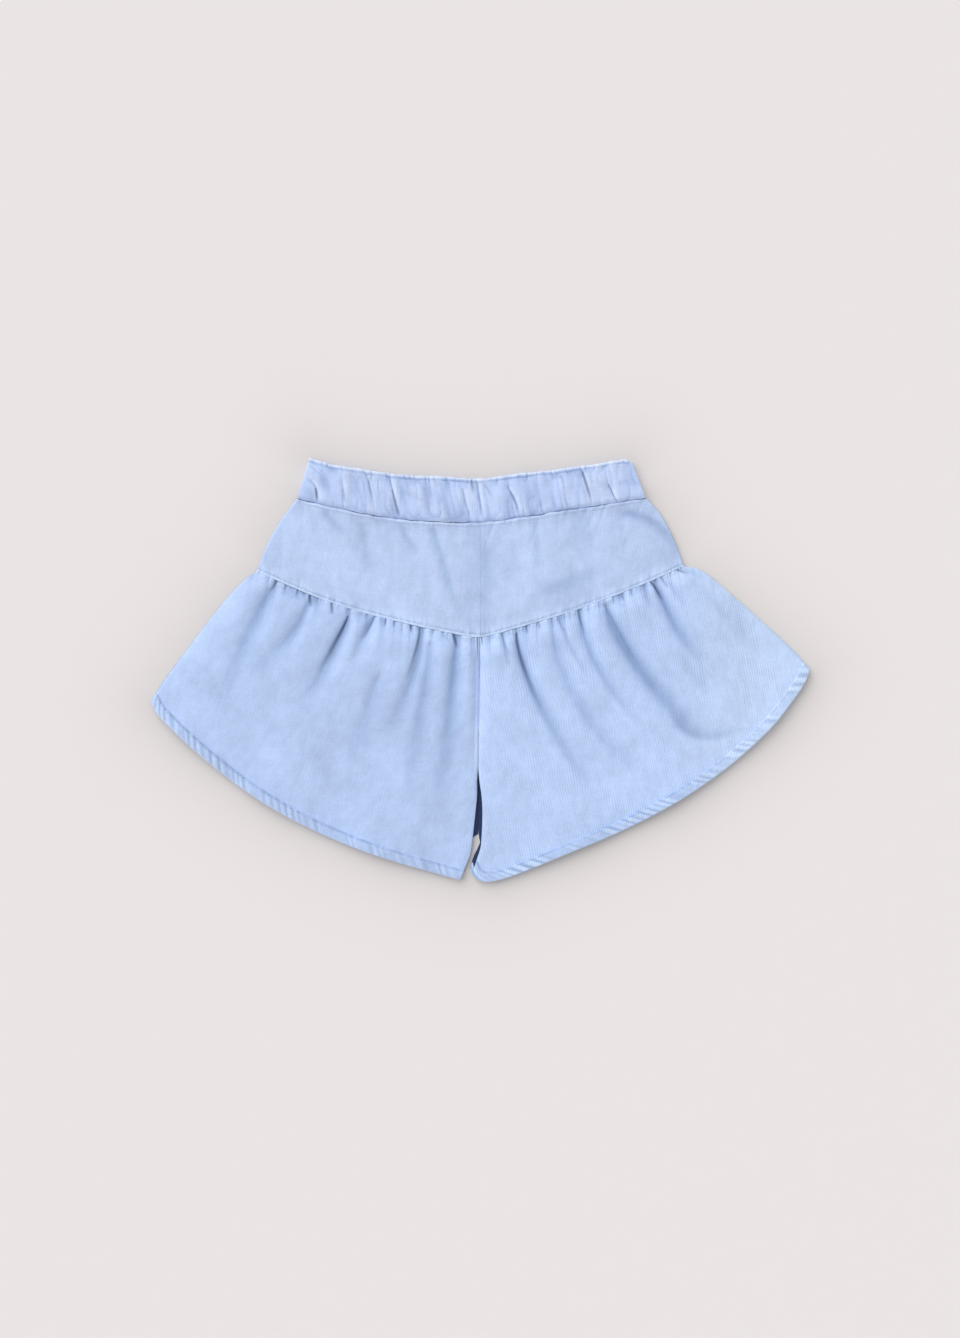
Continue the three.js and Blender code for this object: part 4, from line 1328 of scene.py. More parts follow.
    def centre_ridge(self, place: Place) -> Array:
        """The left leg laps over the right one at the centre, so its edge stands up and the other sinks."""
        if self.hand is Hand.LEFT:
            rise = self.lap_rise * falling(place.from_inner, *self.lap_edge) + self.lap_level
            return self.lapped(place) * rise
        return -self.lapped(place) * self.sunk_centre.on(place.from_inner)

    def thickness(self, place: Place) -> Array:
        """One layer of cloth, and the pressed layers of the turned hem within its height of the bottom."""
        return lerp(CLOTH, HEM, falling(self.past_hem(place), *self.hem_step))

    def rims(self, place: Place) -> tuple[Array, Array]:
        """A round hem and inner edge, an edge tucked under the yoke, and closed sides."""
        hem = rounded(place.from_bottom, self.hem_radius)
        edge = np.minimum(hem, rounded(place.from_inner, self.inner_radius))
        edge = np.maximum(edge, THIN_RIM)
        above, below = self.joined_rims(place)
        if self.layer is Layer.FRONT:
            above = above * (1 - self.pinch_depth * pressed(self.pinches, place.x, place.y))
        else:
            below = below * sunk(place.from_bottom, self.hem_height - HEM_STITCHING, self.thickness(place))
        return np.minimum(above, edge), np.minimum(below, edge)

    def reversed(self, place: Place) -> Array:
        """The navy painted shadow lies on the face turned inwards, but the turned hem shows the washed face
        on both sides.
        """
        return super().reversed(place) & (place.from_bottom > self.hem_height)

    def fade(self, place: Place) -> Array:
        """White on the hem's roping, its fold line, the sides and the left leg's lap, which is wear; wear and
        painted highlight on the hem's edge and the gathers' ridges; painted light on the right leg beside the
        lap; lighter towards the far right.
        """
        past, depth = self.past_hem(place), np.maximum(place.from_top, 0)
        rope = falling(past, *self.hem_look) * np.clip(self.white_ropes * self.rope(place), 0, 1)
        edge = self.hem_edge_wear_and_highlight.on(place.from_bottom) + self.white_side.on(place.from_outer)
        small, larger = self.fine_gathers(place)
        ridge = self.ridge_wear_and_highlight * np.clip(small + larger, 0, 1) * decay(depth, self.ridge_reach)
        lap = 0.0
        if self.layer is Layer.FRONT:
            mark = self.white_lap if self.hand is Hand.LEFT else self.painted_light_beside_lap
            lap = self.lapped(place) * mark.on(place.from_inner)
        far_right = self.lighter_far_right * smoothstep(place.x, *self.far_right)
        return np.clip(rope + edge + self.white_hem_line.on(past) + ridge + lap + far_right, 0, 1)

    def shade(self, place: Place) -> Array:
        """Painted shade in the folds and the small gathers, in the hem's groove and at the slit where the
        left leg turns in; between the hem's ropes it is partly the roping's own colour and partly painted
        shade.
        """
        fold = pressed(self.folds, place.x, place.y, self.lean, self.shade_narrow, SHADE_FADE)
        turned_in = 0.0
        if self.layer is Layer.FRONT:
            strokes = pressed(self.shades, place.x, place.y, lean=self.lean, fade=SHADE_FADE)
            fold = fold + self.dark_strokes * strokes
            if self.hand is Hand.LEFT:
                at_slit = smoothstep(place.from_top, *self.slit_opens)
                at_slit = at_slit * falling(place.from_top, *self.slit_meets)
                turned_in = self.dark_turned_in.on(place.from_inner) * at_slit
        pinch = sum(np.clip(-self.dark_gathers * gather, 0, 1) for gather in self.fine_gathers(place))
        past = self.past_hem(place)
        patchy = self.dark_level + Unevenness(self.seed + 6, 3.4, 0.4).on(place.from_outer)
        hem = patchy * self.dark_hem_line.on(past)
        between = np.clip(self.dark_hem - self.dark_ropes * self.rope(place), 0, 1)
        hem = hem + falling(past, *self.hem_look) * between
        return np.clip(self.dark_folds * fold + pinch + hem + turned_in, 0, self.dark_most)

    def core(self, place: Place) -> Array:
        """Nearly black painted shadow in front: in the gathers' cores, the sharpest of the small pinches
        right under the seam, and the left leg's centre edge.
        """
        if self.layer is Layer.BACK:
            return np.zeros(place.x.shape)
        small, larger = self.fine_gathers(place)
        depth = np.maximum(place.from_top, 0)
        pinch = smoothstep(-small - larger, *self.pinched) * decay(depth, self.pinch_reach)
        core = self.core_pinches * pressed(self.pinches, place.x, place.y) + self.core_gathers * pinch
        if self.hand is Hand.LEFT:
            core = core + self.core_centre.on(place.from_inner) * falling(place.from_top, *self.core_ends)
        return np.clip(core, 0, 1)

    def edge_shift(self, place: Place) -> Array:
        """The hem's edge waves in and out with the roping."""
        return self.rope_edge * self.rope(place) * decay(place.from_bottom, self.rope_edge_reach)


@dataclass(frozen=True)
class Thread:
    """Sewing thread: its stitches' length, half thickness and pitch in millimetres, and their sides."""

    length: float = 2.3
    radius: float = 0.24
    pitch: float = 3.1
    sides: int = 6

    def row(self, name: str, path: Array, material: bpy.types.Material, outwards: float) -> bpy.types.Object:
        """Lays stitches along a path of points, each a short round bar whose ends dip into the cloth.

        A bar's point at ring r and side s is the middle, plus the direction times the ring's place, plus the
        ring's radius round the direction, less its dip.

        Args:
            name: the piece's name.
            path: points along the seam, just outside the cloth, in millimetres.
            material: the thread's material.
            outwards: one where the cloth's outer face looks up, and minus one where it looks down.

        Returns:
            The row of stitches as one piece.
        """
        steps = np.linalg.norm(np.diff(path, axis=0), axis=1)
        travelled = np.concatenate([[0.0], np.cumsum(steps)])
        count = int(travelled[-1] // self.pitch)
        starts = (np.arange(count) + 0.5) * self.pitch
        places = np.array([-1.0, -0.74, 0.0, 0.74, 1.0]) * self.length / 2
        girths = np.array([0.3, 0.92, 1.0, 0.92, 0.3]) * self.radius
        dips = np.array([0.42, 0.08, 0.0, 0.08, 0.42])

        def along(distance: Array) -> Array:
            """Points of the path at those distances from its start."""
            return np.stack([np.interp(distance, travelled, path[:, axis]) for axis in range(3)], axis=-1)

        middles = along(starts[:, None] + places[None, :])
        direction = unit(middles[:, -1:] - middles[:, :1])
        side = unit(np.cross(direction, np.array([0.0, 0.0, 1.0])))
        up = np.cross(side, direction)
        middles = middles - dips[None, :, None] * np.array([0.0, 0.0, outwards])
        turn = np.arange(self.sides) * 2 * np.pi / self.sides
        ring = np.cos(turn)[:, None] * side[:, :, None, :] + np.sin(turn)[:, None] * up[:, :, None, :]
        points = middles[:, :, None, :] + girths[None, :, None, None] * ring
        rings = len(places)
        index = np.arange(rings * self.sides).reshape(rings, self.sides)
        onward = np.roll(index, -1, axis=1)
        bars = np.stack([index[:-1], onward[:-1], onward[1:], index[1:]], axis=-1).reshape(-1, 4)
        caps = []
        for end, order in ((0, 1), (rings - 1, -1)):
            corners = index[end]
            caps += [[corners[0], corners[3], corners[2], corners[1]][::order]]
            caps += [[corners[0], corners[5], corners[4], corners[3]][::order]]
        template = np.concatenate([bars, np.array(caps)])
        faces = (template[None] + (np.arange(count) * rings * self.sides)[:, None, None]).reshape(-1, 4)
        flat_points = points.reshape(-1, 3)
        skin = Skin(flat_points, faces, np.zeros(len(faces)), {}, flat_points[:, :2])
        piece = skin.mesh(name, [material])
        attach(piece, "root")
        LOG.info("%s: %d stitches", name, count)
        return piece


class Socket:
    """A value in a material, whose arithmetic adds Math nodes."""

    def __init__(self, kit: NodeKit, output: bpy.types.NodeSocket) -> None:
        self.kit = kit
        self.output = output

    def _with(self, operation: str, *others: Socket | float) -> Socket:
        """Adds a Math node that takes this value first."""
        return self.kit.maths(operation, self, *others)

    def __add__(self, other: Socket | float) -> Socket:
        """This plus the other."""
        return self._with("ADD", other)

    __radd__ = __add__

    def __sub__(self, other: Socket | float) -> Socket:
        """This less the other."""
        return self._with("SUBTRACT", other)

    def __rsub__(self, other: Socket | float) -> Socket:
        """The other less this."""
        return self.kit.maths("SUBTRACT", other, self)

    def __mul__(self, other: Socket | float) -> Socket:
        """This times the other."""
        return self._with("MULTIPLY", other)

    __rmul__ = __mul__

    def sine(self) -> Socket:
        """The sine of this value in radians."""
        return self._with("SINE")

    def clamped(self) -> Socket:
        """This value kept between 0 and 1."""
        held = self._with("ADD", 0.0)
        held.output.node.use_clamp = True
        return held


class NodeKit:
    """The nodes of one material."""

    def __init__(self, name: str) -> None:
        """Starts a material that has only its output."""
        self.material = bpy.data.materials.new(name)
        self.material.use_nodes = True
        self.tree = self.material.node_tree
        self.tree.nodes.clear()

    def add(self, kind: str, settings: dict[str, object] | None = None, **inputs: object) -> bpy.types.Node:
        """Adds a node, sets its settings and then fills its inputs.

        Args:
            kind: the node's type.
            settings: attributes of the node, set first.
            inputs: a Socket to link or a value to set, by the input's name with underscores for spaces.

        Returns:
            The node.
        """
        node = self.tree.nodes.new(kind)
        for key, value in (settings or {}).items():
            setattr(node, key, value)
        for key, value in inputs.items():
            wanted = key.replace("_", " ")
            target = next(socket for socket in node.inputs if socket.name == wanted and socket.enabled)
            self.fill(target, value)
        return node

    def fill(self, target: bpy.types.NodeSocket, value: object) -> None:
        """Links a Socket to an input, or sets the input's own value."""
        if isinstance(value, Socket):
            self.tree.links.new(value.output, target)
        else:
            target.default_value = value

    def maths(self, operation: str, *values: Socket | float) -> Socket:
        """Adds a Math node over the values."""
        node = self.add("ShaderNodeMath", {"operation": operation})
        for target, value in zip(node.inputs, values):
            self.fill(target, value)
        return Socket(self, node.outputs[0])

    def attribute(self, name: str) -> Socket:
        """A float attribute of the mesh."""
        node = self.add("ShaderNodeAttribute", {"attribute_type": "GEOMETRY", "attribute_name": name})
        return Socket(self, node.outputs["Fac"])

    def scaled(self, vector: Socket, scale: tuple[float, float, float], turn: float = 0.0) -> Socket:
        """A vector stretched along its axes after a turn about Z."""
        node = self.add("ShaderNodeMapping", Vector=vector, Rotation=(0.0, 0.0, turn), Scale=scale)
        return Socket(self, node.outputs["Vector"])

    def noise(self, vector: Socket, scale: float, detail: float = 2.0, rough: float = 0.5) -> Socket:
        """Soft noise from 0 to 1 around 0.5."""
        node = self.add("ShaderNodeTexNoise", Vector=vector, Scale=scale, Detail=detail, Roughness=rough)
        return Socket(self, node.outputs[0])

    def mix(self, factor: Socket | float, first: object, second: object) -> Socket:
        """A colour between two others."""
        node = self.add("ShaderNodeMix", {"data_type": "RGBA"})
        for target, value in zip((node.inputs[0], node.inputs[6], node.inputs[7]), (factor, first, second)):
            self.fill(target, value)
        return Socket(self, node.outputs[2])

    def brighten(self, colour: Socket, by: Socket) -> Socket:
        """A colour times a value."""
        node = self.add("ShaderNodeVectorMath", {"operation": "SCALE"})
        self.fill(node.inputs[0], colour)
        self.fill(node.inputs[3], by)
        return Socket(self, node.outputs[0])

    def finish(self, **inputs: object) -> bpy.types.Material:
        """Adds the surface shader and joins it to the output.

        Args:
            inputs: the shader's inputs.

        Returns:
            The finished material.
        """
        shader = self.add("ShaderNodeBsdfPrincipled", None, **inputs)
        output = self.add("ShaderNodeOutputMaterial")
        self.tree.links.new(shader.outputs[0], output.inputs["Surface"])
        return self.material


def srgb(red: int, green: int, blue: int) -> tuple[float, float, float, float]:
    """The linear colour of an sRGB one from 0 to 255: each channel becomes ((c + 0.055) / 1.055)^2.4."""
    parts = [part / 255 for part in (red, green, blue)]
    linear = [part / 12.92 if part <= 0.04045 else ((part + 0.055) / 1.055) ** 2.4 for part in parts]
    return (*linear, 1.0)


@dataclass(frozen=True)
class Denim:
    """One face of the denim: its own colours, those of its painted shade, its whitening and its nearly black
    painted crease shadow, and how plainly its twill and its mottling show.
    """

    name: str
    base: tuple[float, float, float, float]
    painted_shade_colour: tuple[float, float, float, float]
    pale: tuple[float, float, float, float]
    crease_shadow_colour: tuple[float, float, float, float]
    twill_turn: float = 0.0
    twill_contrast: float = 0.05
    mottle_contrast: float = 0.16
    twill_pitch: float = 1.7
    painted_shade_strength: float = 0.85
    roughness: float = 0.9

    def material(self) -> bpy.types.Material:
        """Twill lines along the grain, uneven yarns, a mottled wash, painted shade by fold, whitening that is
        partly wear and partly painted highlight, and a nearly black painted shadow in pinched creases.
        """
        kit = NodeKit(self.name)
        grain = Socket(kit, kit.add("ShaderNodeUVMap", {"uv_map": "grain"}).outputs["UV"])
        place = Socket(kit, kit.add("ShaderNodeTexCoord").outputs["Object"])
        turned = kit.scaled(grain, (1.0, 1.0, 1.0), self.twill_turn)
        wobble = kit.noise(kit.scaled(turned, (0.06, 0.03, 1.0)), 1.0, 2.0)
        across = Socket(kit, kit.add("ShaderNodeSeparateXYZ", None, Vector=turned).outputs["X"])
        phase = across * (2 * math.pi / self.twill_pitch) + wobble * 12.0
        twill = phase.sine() * 0.5 + 0.5
        presence = kit.noise(kit.scaled(turned, (0.045, 0.03, 1.0)), 1.0, 1.0)
        yarn = kit.noise(kit.scaled(turned, (0.8, 0.06, 1.0)), 1.0, 3.0)
        weft = kit.noise(kit.scaled(turned, (0.07, 0.7, 1.0)), 1.0, 2.0)
        speck = kit.noise(place, 620.0, 3.0, 0.65)
        mottle = kit.noise(kit.scaled(turned, (0.16, 0.09, 1.0)), 1.0, 3.0, 0.6)
        patches = kit.noise(place, 42.0, 3.0, 0.55)
        clouds = kit.noise(place, 13.0, 2.0, 0.5)
        light = 1.0 + (twill - 0.5) * (presence * (2 * self.twill_contrast))
        light = light + (yarn + weft - 1.0) * (self.mottle_contrast * 0.6) + (speck - 0.5) * 0.2
        light = light + (mottle * 1.8 + patches * 1.6 + clouds * 1.3 - 2.35) * self.mottle_contrast
        # Painted shade: the colour goes towards the shade colour where the shade attribute is high
        painted_shade_mixed = kit.mix((kit.attribute("shade") * self.painted_shade_strength).clamped(), self.base, self.painted_shade_colour)
        # Whitening: partly the wash's wear, partly painted highlight on lit ridges and crease sides
        wear_and_highlight = (kit.attribute("fade") * (yarn * 0.8 + 0.6)).clamped()
        washed = kit.mix(wear_and_highlight, painted_shade_mixed, self.pale)
        # Nearly black painted shadow in the pinched creases
        crease_shadowed = kit.mix(kit.attribute("core").clamped(), washed, self.crease_shadow_colour)
        colour = kit.brighten(crease_shadowed, light)
        weave = twill * 0.5 + yarn * 0.5 + speck * 0.9
        bump = kit.add("ShaderNodeBump", None, Strength=0.35, Distance=0.00025, Height=weave)
        return kit.finish(
            Base_Color=colour,
            Roughness=self.roughness,
            Normal=Socket(kit, bump.outputs["Normal"]),
            Specular_IOR_Level=0.25,
            Sheen_Weight=0.12,
            Sheen_Roughness=0.5,
        )


@dataclass(frozen=True)
class ThreadFinish:
    """Sewing thread, with its ply as fine slanted lines."""

    name: str
    base: tuple[float, float, float, float]

    def material(self) -> bpy.types.Material:
        """A matt thread whose brightness changes with its ply and a little from stitch to stitch."""
        kit = NodeKit(self.name)
        place = Socket(kit, kit.add("ShaderNodeTexCoord").outputs["Object"])
        ply = kit.noise(place, 2600.0, 1.0)
        uneven = kit.noise(place, 160.0, 1.0)
        colour = kit.brighten(kit.mix(0.0, self.base, self.base), 0.82 + ply * 0.2 + uneven * 0.16)
        bump = kit.add("ShaderNodeBump", None, Strength=0.4, Distance=0.0001, Height=ply)
        return kit.finish(
            Base_Color=colour,
            Roughness=0.75,
            Normal=Socket(kit, bump.outputs["Normal"]),
            Specular_IOR_Level=0.3,
        )


@dataclass
class Shorts:
    """The whole garment: its edges, its ten panels and its sewing."""

    half_gap: float = 0.02
    band_inset_behind: float = 0.6

    def __post_init__(self) -> None:
        """Draws the edges that neighbouring panels share."""
        self.waist_top, self.band_bottom, self.yoke_seam = Edge(WAIST_TOP), Edge(BAND_BOTTOM), Edge(YOKE_SEAM)
        self.yoke_sides = {Hand.LEFT: Edge(YOKE_SIDE_LEFT), Hand.RIGHT: Edge(YOKE_SIDE_RIGHT)}
        self.leg_sides = {Hand.LEFT: Edge(LEG_SIDE_LEFT), Hand.RIGHT: Edge(LEG_SIDE_RIGHT)}
        self.hems = {Hand.LEFT: Edge(HEM_LEFT), Hand.RIGHT: Edge(HEM_RIGHT)}
        self.inners = {
            (Hand.LEFT, Layer.FRONT): Edge(INNER_LEFT),
            (Hand.RIGHT, Layer.FRONT): Edge(INNER_RIGHT),
            (Hand.LEFT, Layer.BACK): Edge(BACK_INNER_LEFT),
            (Hand.RIGHT, Layer.BACK): Edge(BACK_INNER_RIGHT),
        }

    def outline(self) -> Array:
        """Points all round the garment, for the painted shadow on the floor beside it."""
        lines = [self.waist_top, *self.yoke_sides.values(), *self.leg_sides.values(), *self.hems.values()]
        return np.concatenate([line(np.linspace(0, 1, 160)) for line in lines])

    def band_cut(self, inset: float) -> Cut:
        """The waistband's outline, with its top edge lowered by the inset."""
        top = moved(self.waist_top, lambda share: 0.0, lambda share: -inset)
        bottom = moved(self.band_bottom, lambda share: 0.0, lambda share: self.half_gap)
        ends = [self.between(top(np.array(end)), bottom(np.array(end))) for end in (0.0, 1.0)]
        return Cut(top, bottom, ends[0], ends[1])

    @staticmethod
    def between(start: Array, end: Array) -> Line:
        """The straight line from one point to another."""
        return lambda share: start + (end - start) * np.asarray(share, dtype=float)[..., None]

    def yoke_cut(self, hand: Hand) -> Cut:
        """A yoke panel's outline, with half a seam gap left along its seams."""
        outer = 0.0 if hand is Hand.LEFT else 1.0
        band = self.band_bottom.stretch(outer, self.band_bottom.share_at_x(0))
        seam = self.yoke_seam.stretch(outer, self.yoke_seam.share_at_x(0))
        gap = self.half_gap

        def aside(share: Array) -> Array:
            """How far the inner edge stands off the centre seam."""
            return hand.sign * gap * share

        top = moved(band, aside, lambda share: -gap)
        bottom = moved(seam, aside, lambda share: gap)
        side = moved(self.yoke_sides[hand], lambda share: 0.0, lambda share: lerp(-gap, gap, share))
        return Cut(top, bottom, side, self.between(top(np.array(1.0)), bottom(np.array(1.0))))

    def leg_cut(self, hand: Hand, layer: Layer) -> Cut:
        """A leg panel's outline, smaller at the hem behind than in front."""
        gap = self.half_gap
        inset = 0.0 if layer is Layer.FRONT else BACK_HEM_INSET
        inner, hem = self.inners[hand, layer], self.hems[hand]
        seam = self.yoke_seam.stretch(0.0 if hand is Hand.LEFT else 1.0, self.yoke_seam.share_at_x(0))
        to_inner = inner(np.array(0.0)) - seam(np.array(1.0))
        hem_to_inner = inner(np.array(1.0)) - hem(np.array(1.0))
        beside = hand.sign * gap
        top = moved(seam, lambda share: (to_inner[0] + beside) * share**CORNER_REACH, lambda share: -gap)
        bottom = moved(
            hem,
            lambda share: (hem_to_inner[0] + beside) * share**CORNER_REACH,
            lambda share: lerp(inset, hem_to_inner[1], share**CORNER_REACH),
        )
        side = moved(self.leg_sides[hand], lambda share: 0.0, lambda share: lerp(-gap, inset, share))
        inward = moved(inner, lambda share: beside, lambda share: (-gap - to_inner[1]) * (1 - share))
        return Cut(top, bottom, side, inward)

    def waistband(self, layer: Layer) -> Waistband:
        """Half of the waistband."""
        front = layer is Layer.FRONT
        return Waistband(
            node=f"waistband_{layer.value}",
            cut=self.band_cut(0.0 if front else self.band_inset_behind),
            columns=420 if front else 200,
            rows=54 if front else 40,
            slot="denim_band",
            flat=(0.280, 0.032),
            flat_area=0.0088,
            rests_on=("waistband_back",) if front else (),
            held="gathered",
            layer=layer,
        )

    def yoke(self, hand: Hand, layer: Layer) -> Yoke:
        """One yoke panel."""
        front = layer is Layer.FRONT
        return Yoke(
            node=f"yoke_{layer.value}_{hand.value}",
            cut=self.yoke_cut(hand),
            columns=190 if front else 90,
            rows=90 if front else 80,
            slot="denim_yoke",
            flat=(0.165, 0.105),
            flat_area=0.0107,
            rests_on=(f"yoke_back_{hand.value}",) if front else (),
            layer=layer,
            hand=hand,
        )

    def leg(self, hand: Hand, layer: Layer) -> Leg:
        """One leg panel."""
        front = layer is Layer.FRONT
        return Leg(
            node=f"leg_{layer.value}_{hand.value}",
            cut=self.leg_cut(hand, layer),
            columns=390 if front else 170,
            rows=125 if front else 84,
            slot="denim_leg",
            flat=(0.305, 0.210),
            flat_area=0.0385,
            rests_on=(f"leg_back_{hand.value}",) if front else (),
            held="gathered",
            layer=layer,
            hand=hand,
            folds=folds_from(GATHERS_LEFT if hand is Hand.LEFT else GATHERS_RIGHT),
            shades=folds_from(SHADES_LEFT if hand is Hand.LEFT else SHADES_RIGHT),
            pinches=folds_from(PINCHES_LEFT if hand is Hand.LEFT else PINCHES_RIGHT),
            hem_height=HEM_HEIGHT if front else BACK_HEM_HEIGHT,
            rope_depth=0.85 if hand is Hand.LEFT else 1.35,
            seed=LEFT_SEED if hand is Hand.LEFT else RIGHT_SEED,
        )

    def stitch_path(self, panel: ClothPanel, distance: float, from_top: bool) -> Array:
        """Points along a panel at one distance from its top or bottom edge, on its outer face.

        Args:
            panel: the panel that is sewn.
            distance: how far from the edge, in millimetres.
            from_top: whether the edge is the top one.

        Returns:
            The path's points, in millimetres.
        """
        first, last, samples, stand_off = 0.008, 0.992, 700, 0.1
        u = np.linspace(first, last, samples)
        lengths = panel.cut.lengths(u)
        near = distance / lengths if from_top else 1 - distance / lengths
        rows = near[:, None] + np.array([[-0.3, 0.0, 0.3]]) / lengths[:, None]
        _, upper, lower = panel.surface(u[:, None], rows)
        front = panel.layer is Layer.FRONT
        path = upper[:, 1] if front else lower[:, 1]
        return path + np.array([0.0, 0.0, stand_off if front else -stand_off])

    def build(self, finishes: dict[str, bpy.types.Material]) -> None:
        """Args:
            finishes: the materials, by name.
        """
        hands = (Hand.LEFT, Hand.RIGHT)
        layers = (Layer.BACK, Layer.FRONT)
        panels: list[tuple[ClothPanel, str]] = []
        panels += [(self.waistband(layer), "band") for layer in layers]
        panels += [(self.yoke(hand, layer), "yoke") for layer in layers for hand in hands]
        panels += [(self.leg(hand, layer), f"leg_{hand.value}") for layer in layers for hand in hands]
        for panel, finish in panels:
            piece = panel.build(finishes[finish], finishes["inside_shadow"])
            panel.declare(piece, [self.sew(panel, finishes["thread"])])

    def sew(self, panel: ClothPanel, material: bpy.types.Material) -> bpy.types.Object:
        """Sews one row of stitches on the outer face of a panel.

        Args:
            panel: the panel to sew.
            material: the thread's material.

        Returns:
            The row of stitches.
        """
        thread, from_top = Thread(), False
        if isinstance(panel, Waistband):
            thread, distance, from_top = Thread(pitch=2.8, length=2.0, radius=0.2), BAND_STITCHING, True
        elif isinstance(panel, Leg):
            distance = panel.hem_height - HEM_STITCHING
        else:
            distance = YOKE_STITCHING
        outwards = 1.0 if panel.layer is Layer.FRONT else -1.0
        path = self.stitch_path(panel, distance, from_top)
        row = thread.row(f"stitches_{panel.node}", path, material, outwards)
        return row


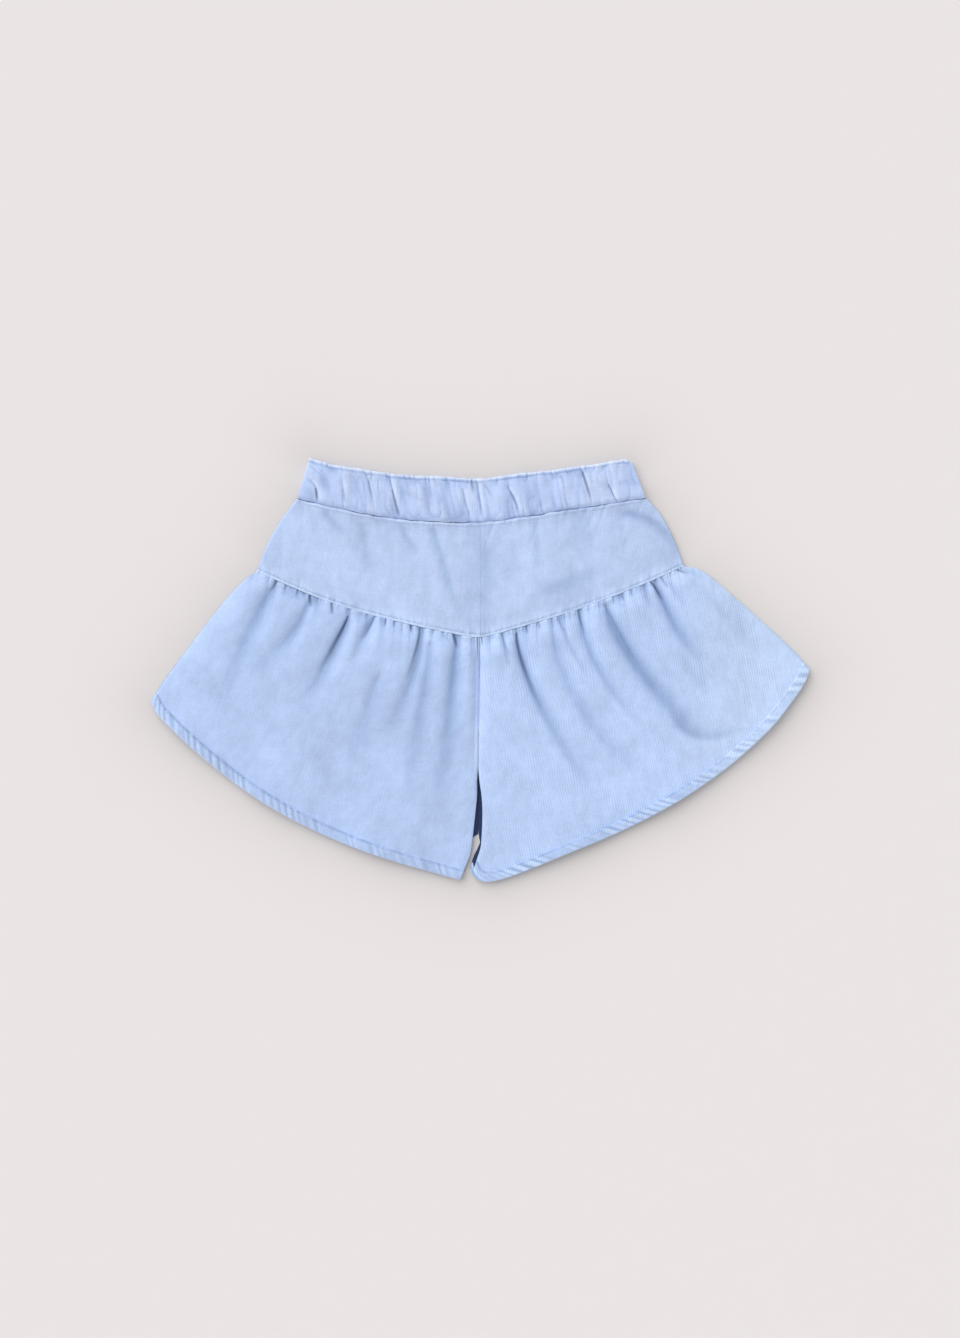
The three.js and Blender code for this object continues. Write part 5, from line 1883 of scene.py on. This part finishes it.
@dataclass
class Studio:
    """The pale floor that sweeps up behind the garment, with a painted shadow round the cloth, the soft light
    and the camera.
    """

    floor_colour: tuple[float, float, float, float] = srgb(235, 230, 229)
    frame_height: float = 1338 * 0.70 * MM
    frame_centre: tuple[float, float] = (-0.35 * MM, 0.7 * MM)
    lens: float = 100.0
    film: float = 36.0
    sky: float = 0.58
    key: float = 1.93
    fill: float = 0.1
    # How strong the painted shadow on the floor is right beside the cloth, and how far it reaches
    shade_beside: float = 0.42
    shade_reach: float = 24.0
    rim_radius: float = 5000.0
    rim_round: float = 1000.0
    floor_drop: float = 0.05

    def camera(self, subject_height: float) -> None:
        """Looks straight down from where the photo's frame fits the film.

        Args:
            subject_height: how high the cloth's face lies over the floor, in metres.
        """
        data = bpy.data.cameras.new("camera")
        data.lens = self.lens
        data.sensor_width = self.film
        data.clip_end = 100.0
        camera = bpy.data.objects.new("camera", data)
        away = self.frame_height * self.lens / self.film
        camera.location = (*self.frame_centre, subject_height + away)
        bpy.context.scene.collection.objects.link(camera)
        bpy.context.scene.camera = camera

    def sun(self, name: str, strength: float, azimuth: float, elevation: float, softness: float) -> None:
        """A far lamp with a wide disc.

        Args:
            name: the lamp's name.
            strength: its strength, in watts a square metre.
            azimuth: where it stands, in degrees from +X towards +Y.
            elevation: how high it stands, in degrees.
            softness: its disc's angle, in degrees.
        """
        data = bpy.data.lights.new(name, "SUN")
        data.energy = strength
        data.angle = math.radians(softness)
        lamp = bpy.data.objects.new(name, data)
        lamp.rotation_euler = (0.0, math.radians(90 - elevation), math.radians(azimuth))
        bpy.context.scene.collection.objects.link(lamp)

    def lights(self) -> None:
        """An even sky, a soft key from the upper left and a weaker fill from the right."""
        world = bpy.data.worlds.new("sky")
        world.use_nodes = True
        world.node_tree.nodes["Background"].inputs["Color"].default_value = (1.0, 1.0, 1.0, 1.0)
        world.node_tree.nodes["Background"].inputs["Strength"].default_value = self.sky
        bpy.context.scene.world = world
        self.sun("key", self.key, azimuth=135, elevation=39, softness=72)
        self.sun("fill", self.fill, azimuth=-20, elevation=55, softness=70)
        bpy.context.scene.view_settings.view_transform = "Standard"

    def floor_material(self) -> bpy.types.Material:
        """A matt pale floor with a painted shadow right beside the cloth."""
        kit = NodeKit("floor")
        beside = kit.attribute("beside")
        place = Socket(kit, kit.add("ShaderNodeTexCoord").outputs["Object"])
        paper = kit.noise(place, 60.0, 2.0)
        # Painted shadow: the floor's colour goes towards a warm grey beside the cloth
        colour = kit.mix(beside, self.floor_colour, srgb(199, 193, 189))
        colour = kit.brighten(colour, 0.995 + paper * 0.01)
        return kit.finish(Base_Color=colour, Roughness=0.95, Specular_IOR_Level=0.1)

    def floor(self, outline: Array) -> None:
        """Flat rings with a quarter round up at the rim, with a painted shadow that is stronger the nearer
        they are to the cloth.

        Args:
            outline: points round the garment, in millimetres.
        """
        near = np.arange(0.0, 400.0, 4.0)
        far = np.array([420, 460, 520, 620, 800, 1100, 1600, 2400, 3600, self.rim_radius])
        bend = np.linspace(0, np.pi / 2, 12)[1:]
        radius = np.concatenate([near, far, self.rim_radius + self.rim_round * np.sin(bend)])
        height = np.concatenate([0 * near, 0 * far, self.rim_round * (1 - np.cos(bend))])
        turn = np.linspace(0, 2 * np.pi, 241)[:-1]
        x = radius[:, None] * np.cos(turn)
        y = radius[:, None] * np.sin(turn)
        z = np.broadcast_to(height[:, None], x.shape) - self.floor_drop
        points = np.stack([x, y, z], axis=-1)
        gap = np.full(x.shape, np.inf)
        for spot in outline[::2]:
            gap = np.minimum(gap, np.hypot(x - spot[0], y - spot[1]))
        # The painted shadow's strength at each floor point
        beside = self.shade_beside * np.exp(-((gap / self.shade_reach) ** 1.15))
        index = np.arange(x.size).reshape(x.shape)
        onward = np.roll(index, -1, axis=1)
        faces = np.stack([index[:-1], index[1:], onward[1:], onward[:-1]], axis=-1).reshape(-1, 4)
        flat = points.reshape(-1, 3)
        skin = Skin(flat, faces, np.zeros(len(faces)), {"beside": beside}, flat[:, :2])
        skin.mesh("floor", [self.floor_material()])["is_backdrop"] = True


def make_finishes() -> dict[str, bpy.types.Material]:
    """The garment's materials, by the name of what wears them."""
    # Each denim's colours in turn: its own, its painted shade, its whitening and painted highlight, and its
    # nearly black painted crease shadow
    base, painted_shade_colour, pale, crease_shadow_colour = srgb(184, 205, 243), srgb(144, 169, 209), srgb(206, 225, 255), srgb(54, 76, 113)
    yoke = srgb(189, 208, 244), painted_shade_colour, pale
    band = srgb(188, 207, 246), srgb(130, 154, 199), srgb(214, 228, 252)
    right = srgb(187, 208, 246), srgb(140, 165, 206), srgb(208, 228, 255)
    # A navy for the faces turned inwards: painted shadow for the shaded inside that shows in the slit between
    # the legs
    navy = srgb(47, 65, 102), srgb(33, 47, 80), srgb(92, 112, 150)
    denims = {
        "band": Denim("denim_band", *band, crease_shadow_colour, twill_turn=0.0, twill_contrast=0.03),
        "yoke": Denim("denim_yoke", *yoke, crease_shadow_colour, twill_turn=0.15, twill_contrast=0.03),
        "leg_left": Denim("denim_leg_left", base, painted_shade_colour, pale, crease_shadow_colour, twill_turn=0.35, twill_contrast=0.04),
        "leg_right": Denim("denim_leg_right", *right, crease_shadow_colour, twill_turn=-0.18, twill_contrast=0.13),
        "inside_shadow": Denim("denim_inside_shadow", *navy, crease_shadow_colour, twill_turn=0.7, twill_contrast=0.12),
    }
    finishes = {name: denim.material() for name, denim in denims.items()}
    finishes["thread"] = ThreadFinish("thread", srgb(178, 199, 236)).material()
    return finishes


def main() -> None:
    """Loads the frame, dresses every panel, and sets the floor, the light and the camera."""
    logging.basicConfig(level=logging.INFO, format="%(message)s")
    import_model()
    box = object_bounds()
    cad_box = [list(corner) for corner in box]
    studio = Studio()
    studio.camera(subject_height=cad_box[1][2] / 2)
    studio.lights()
    shorts = Shorts()
    studio.floor(shorts.outline())
    shorts.build(make_finishes())


if __name__ == "__main__":
    main()
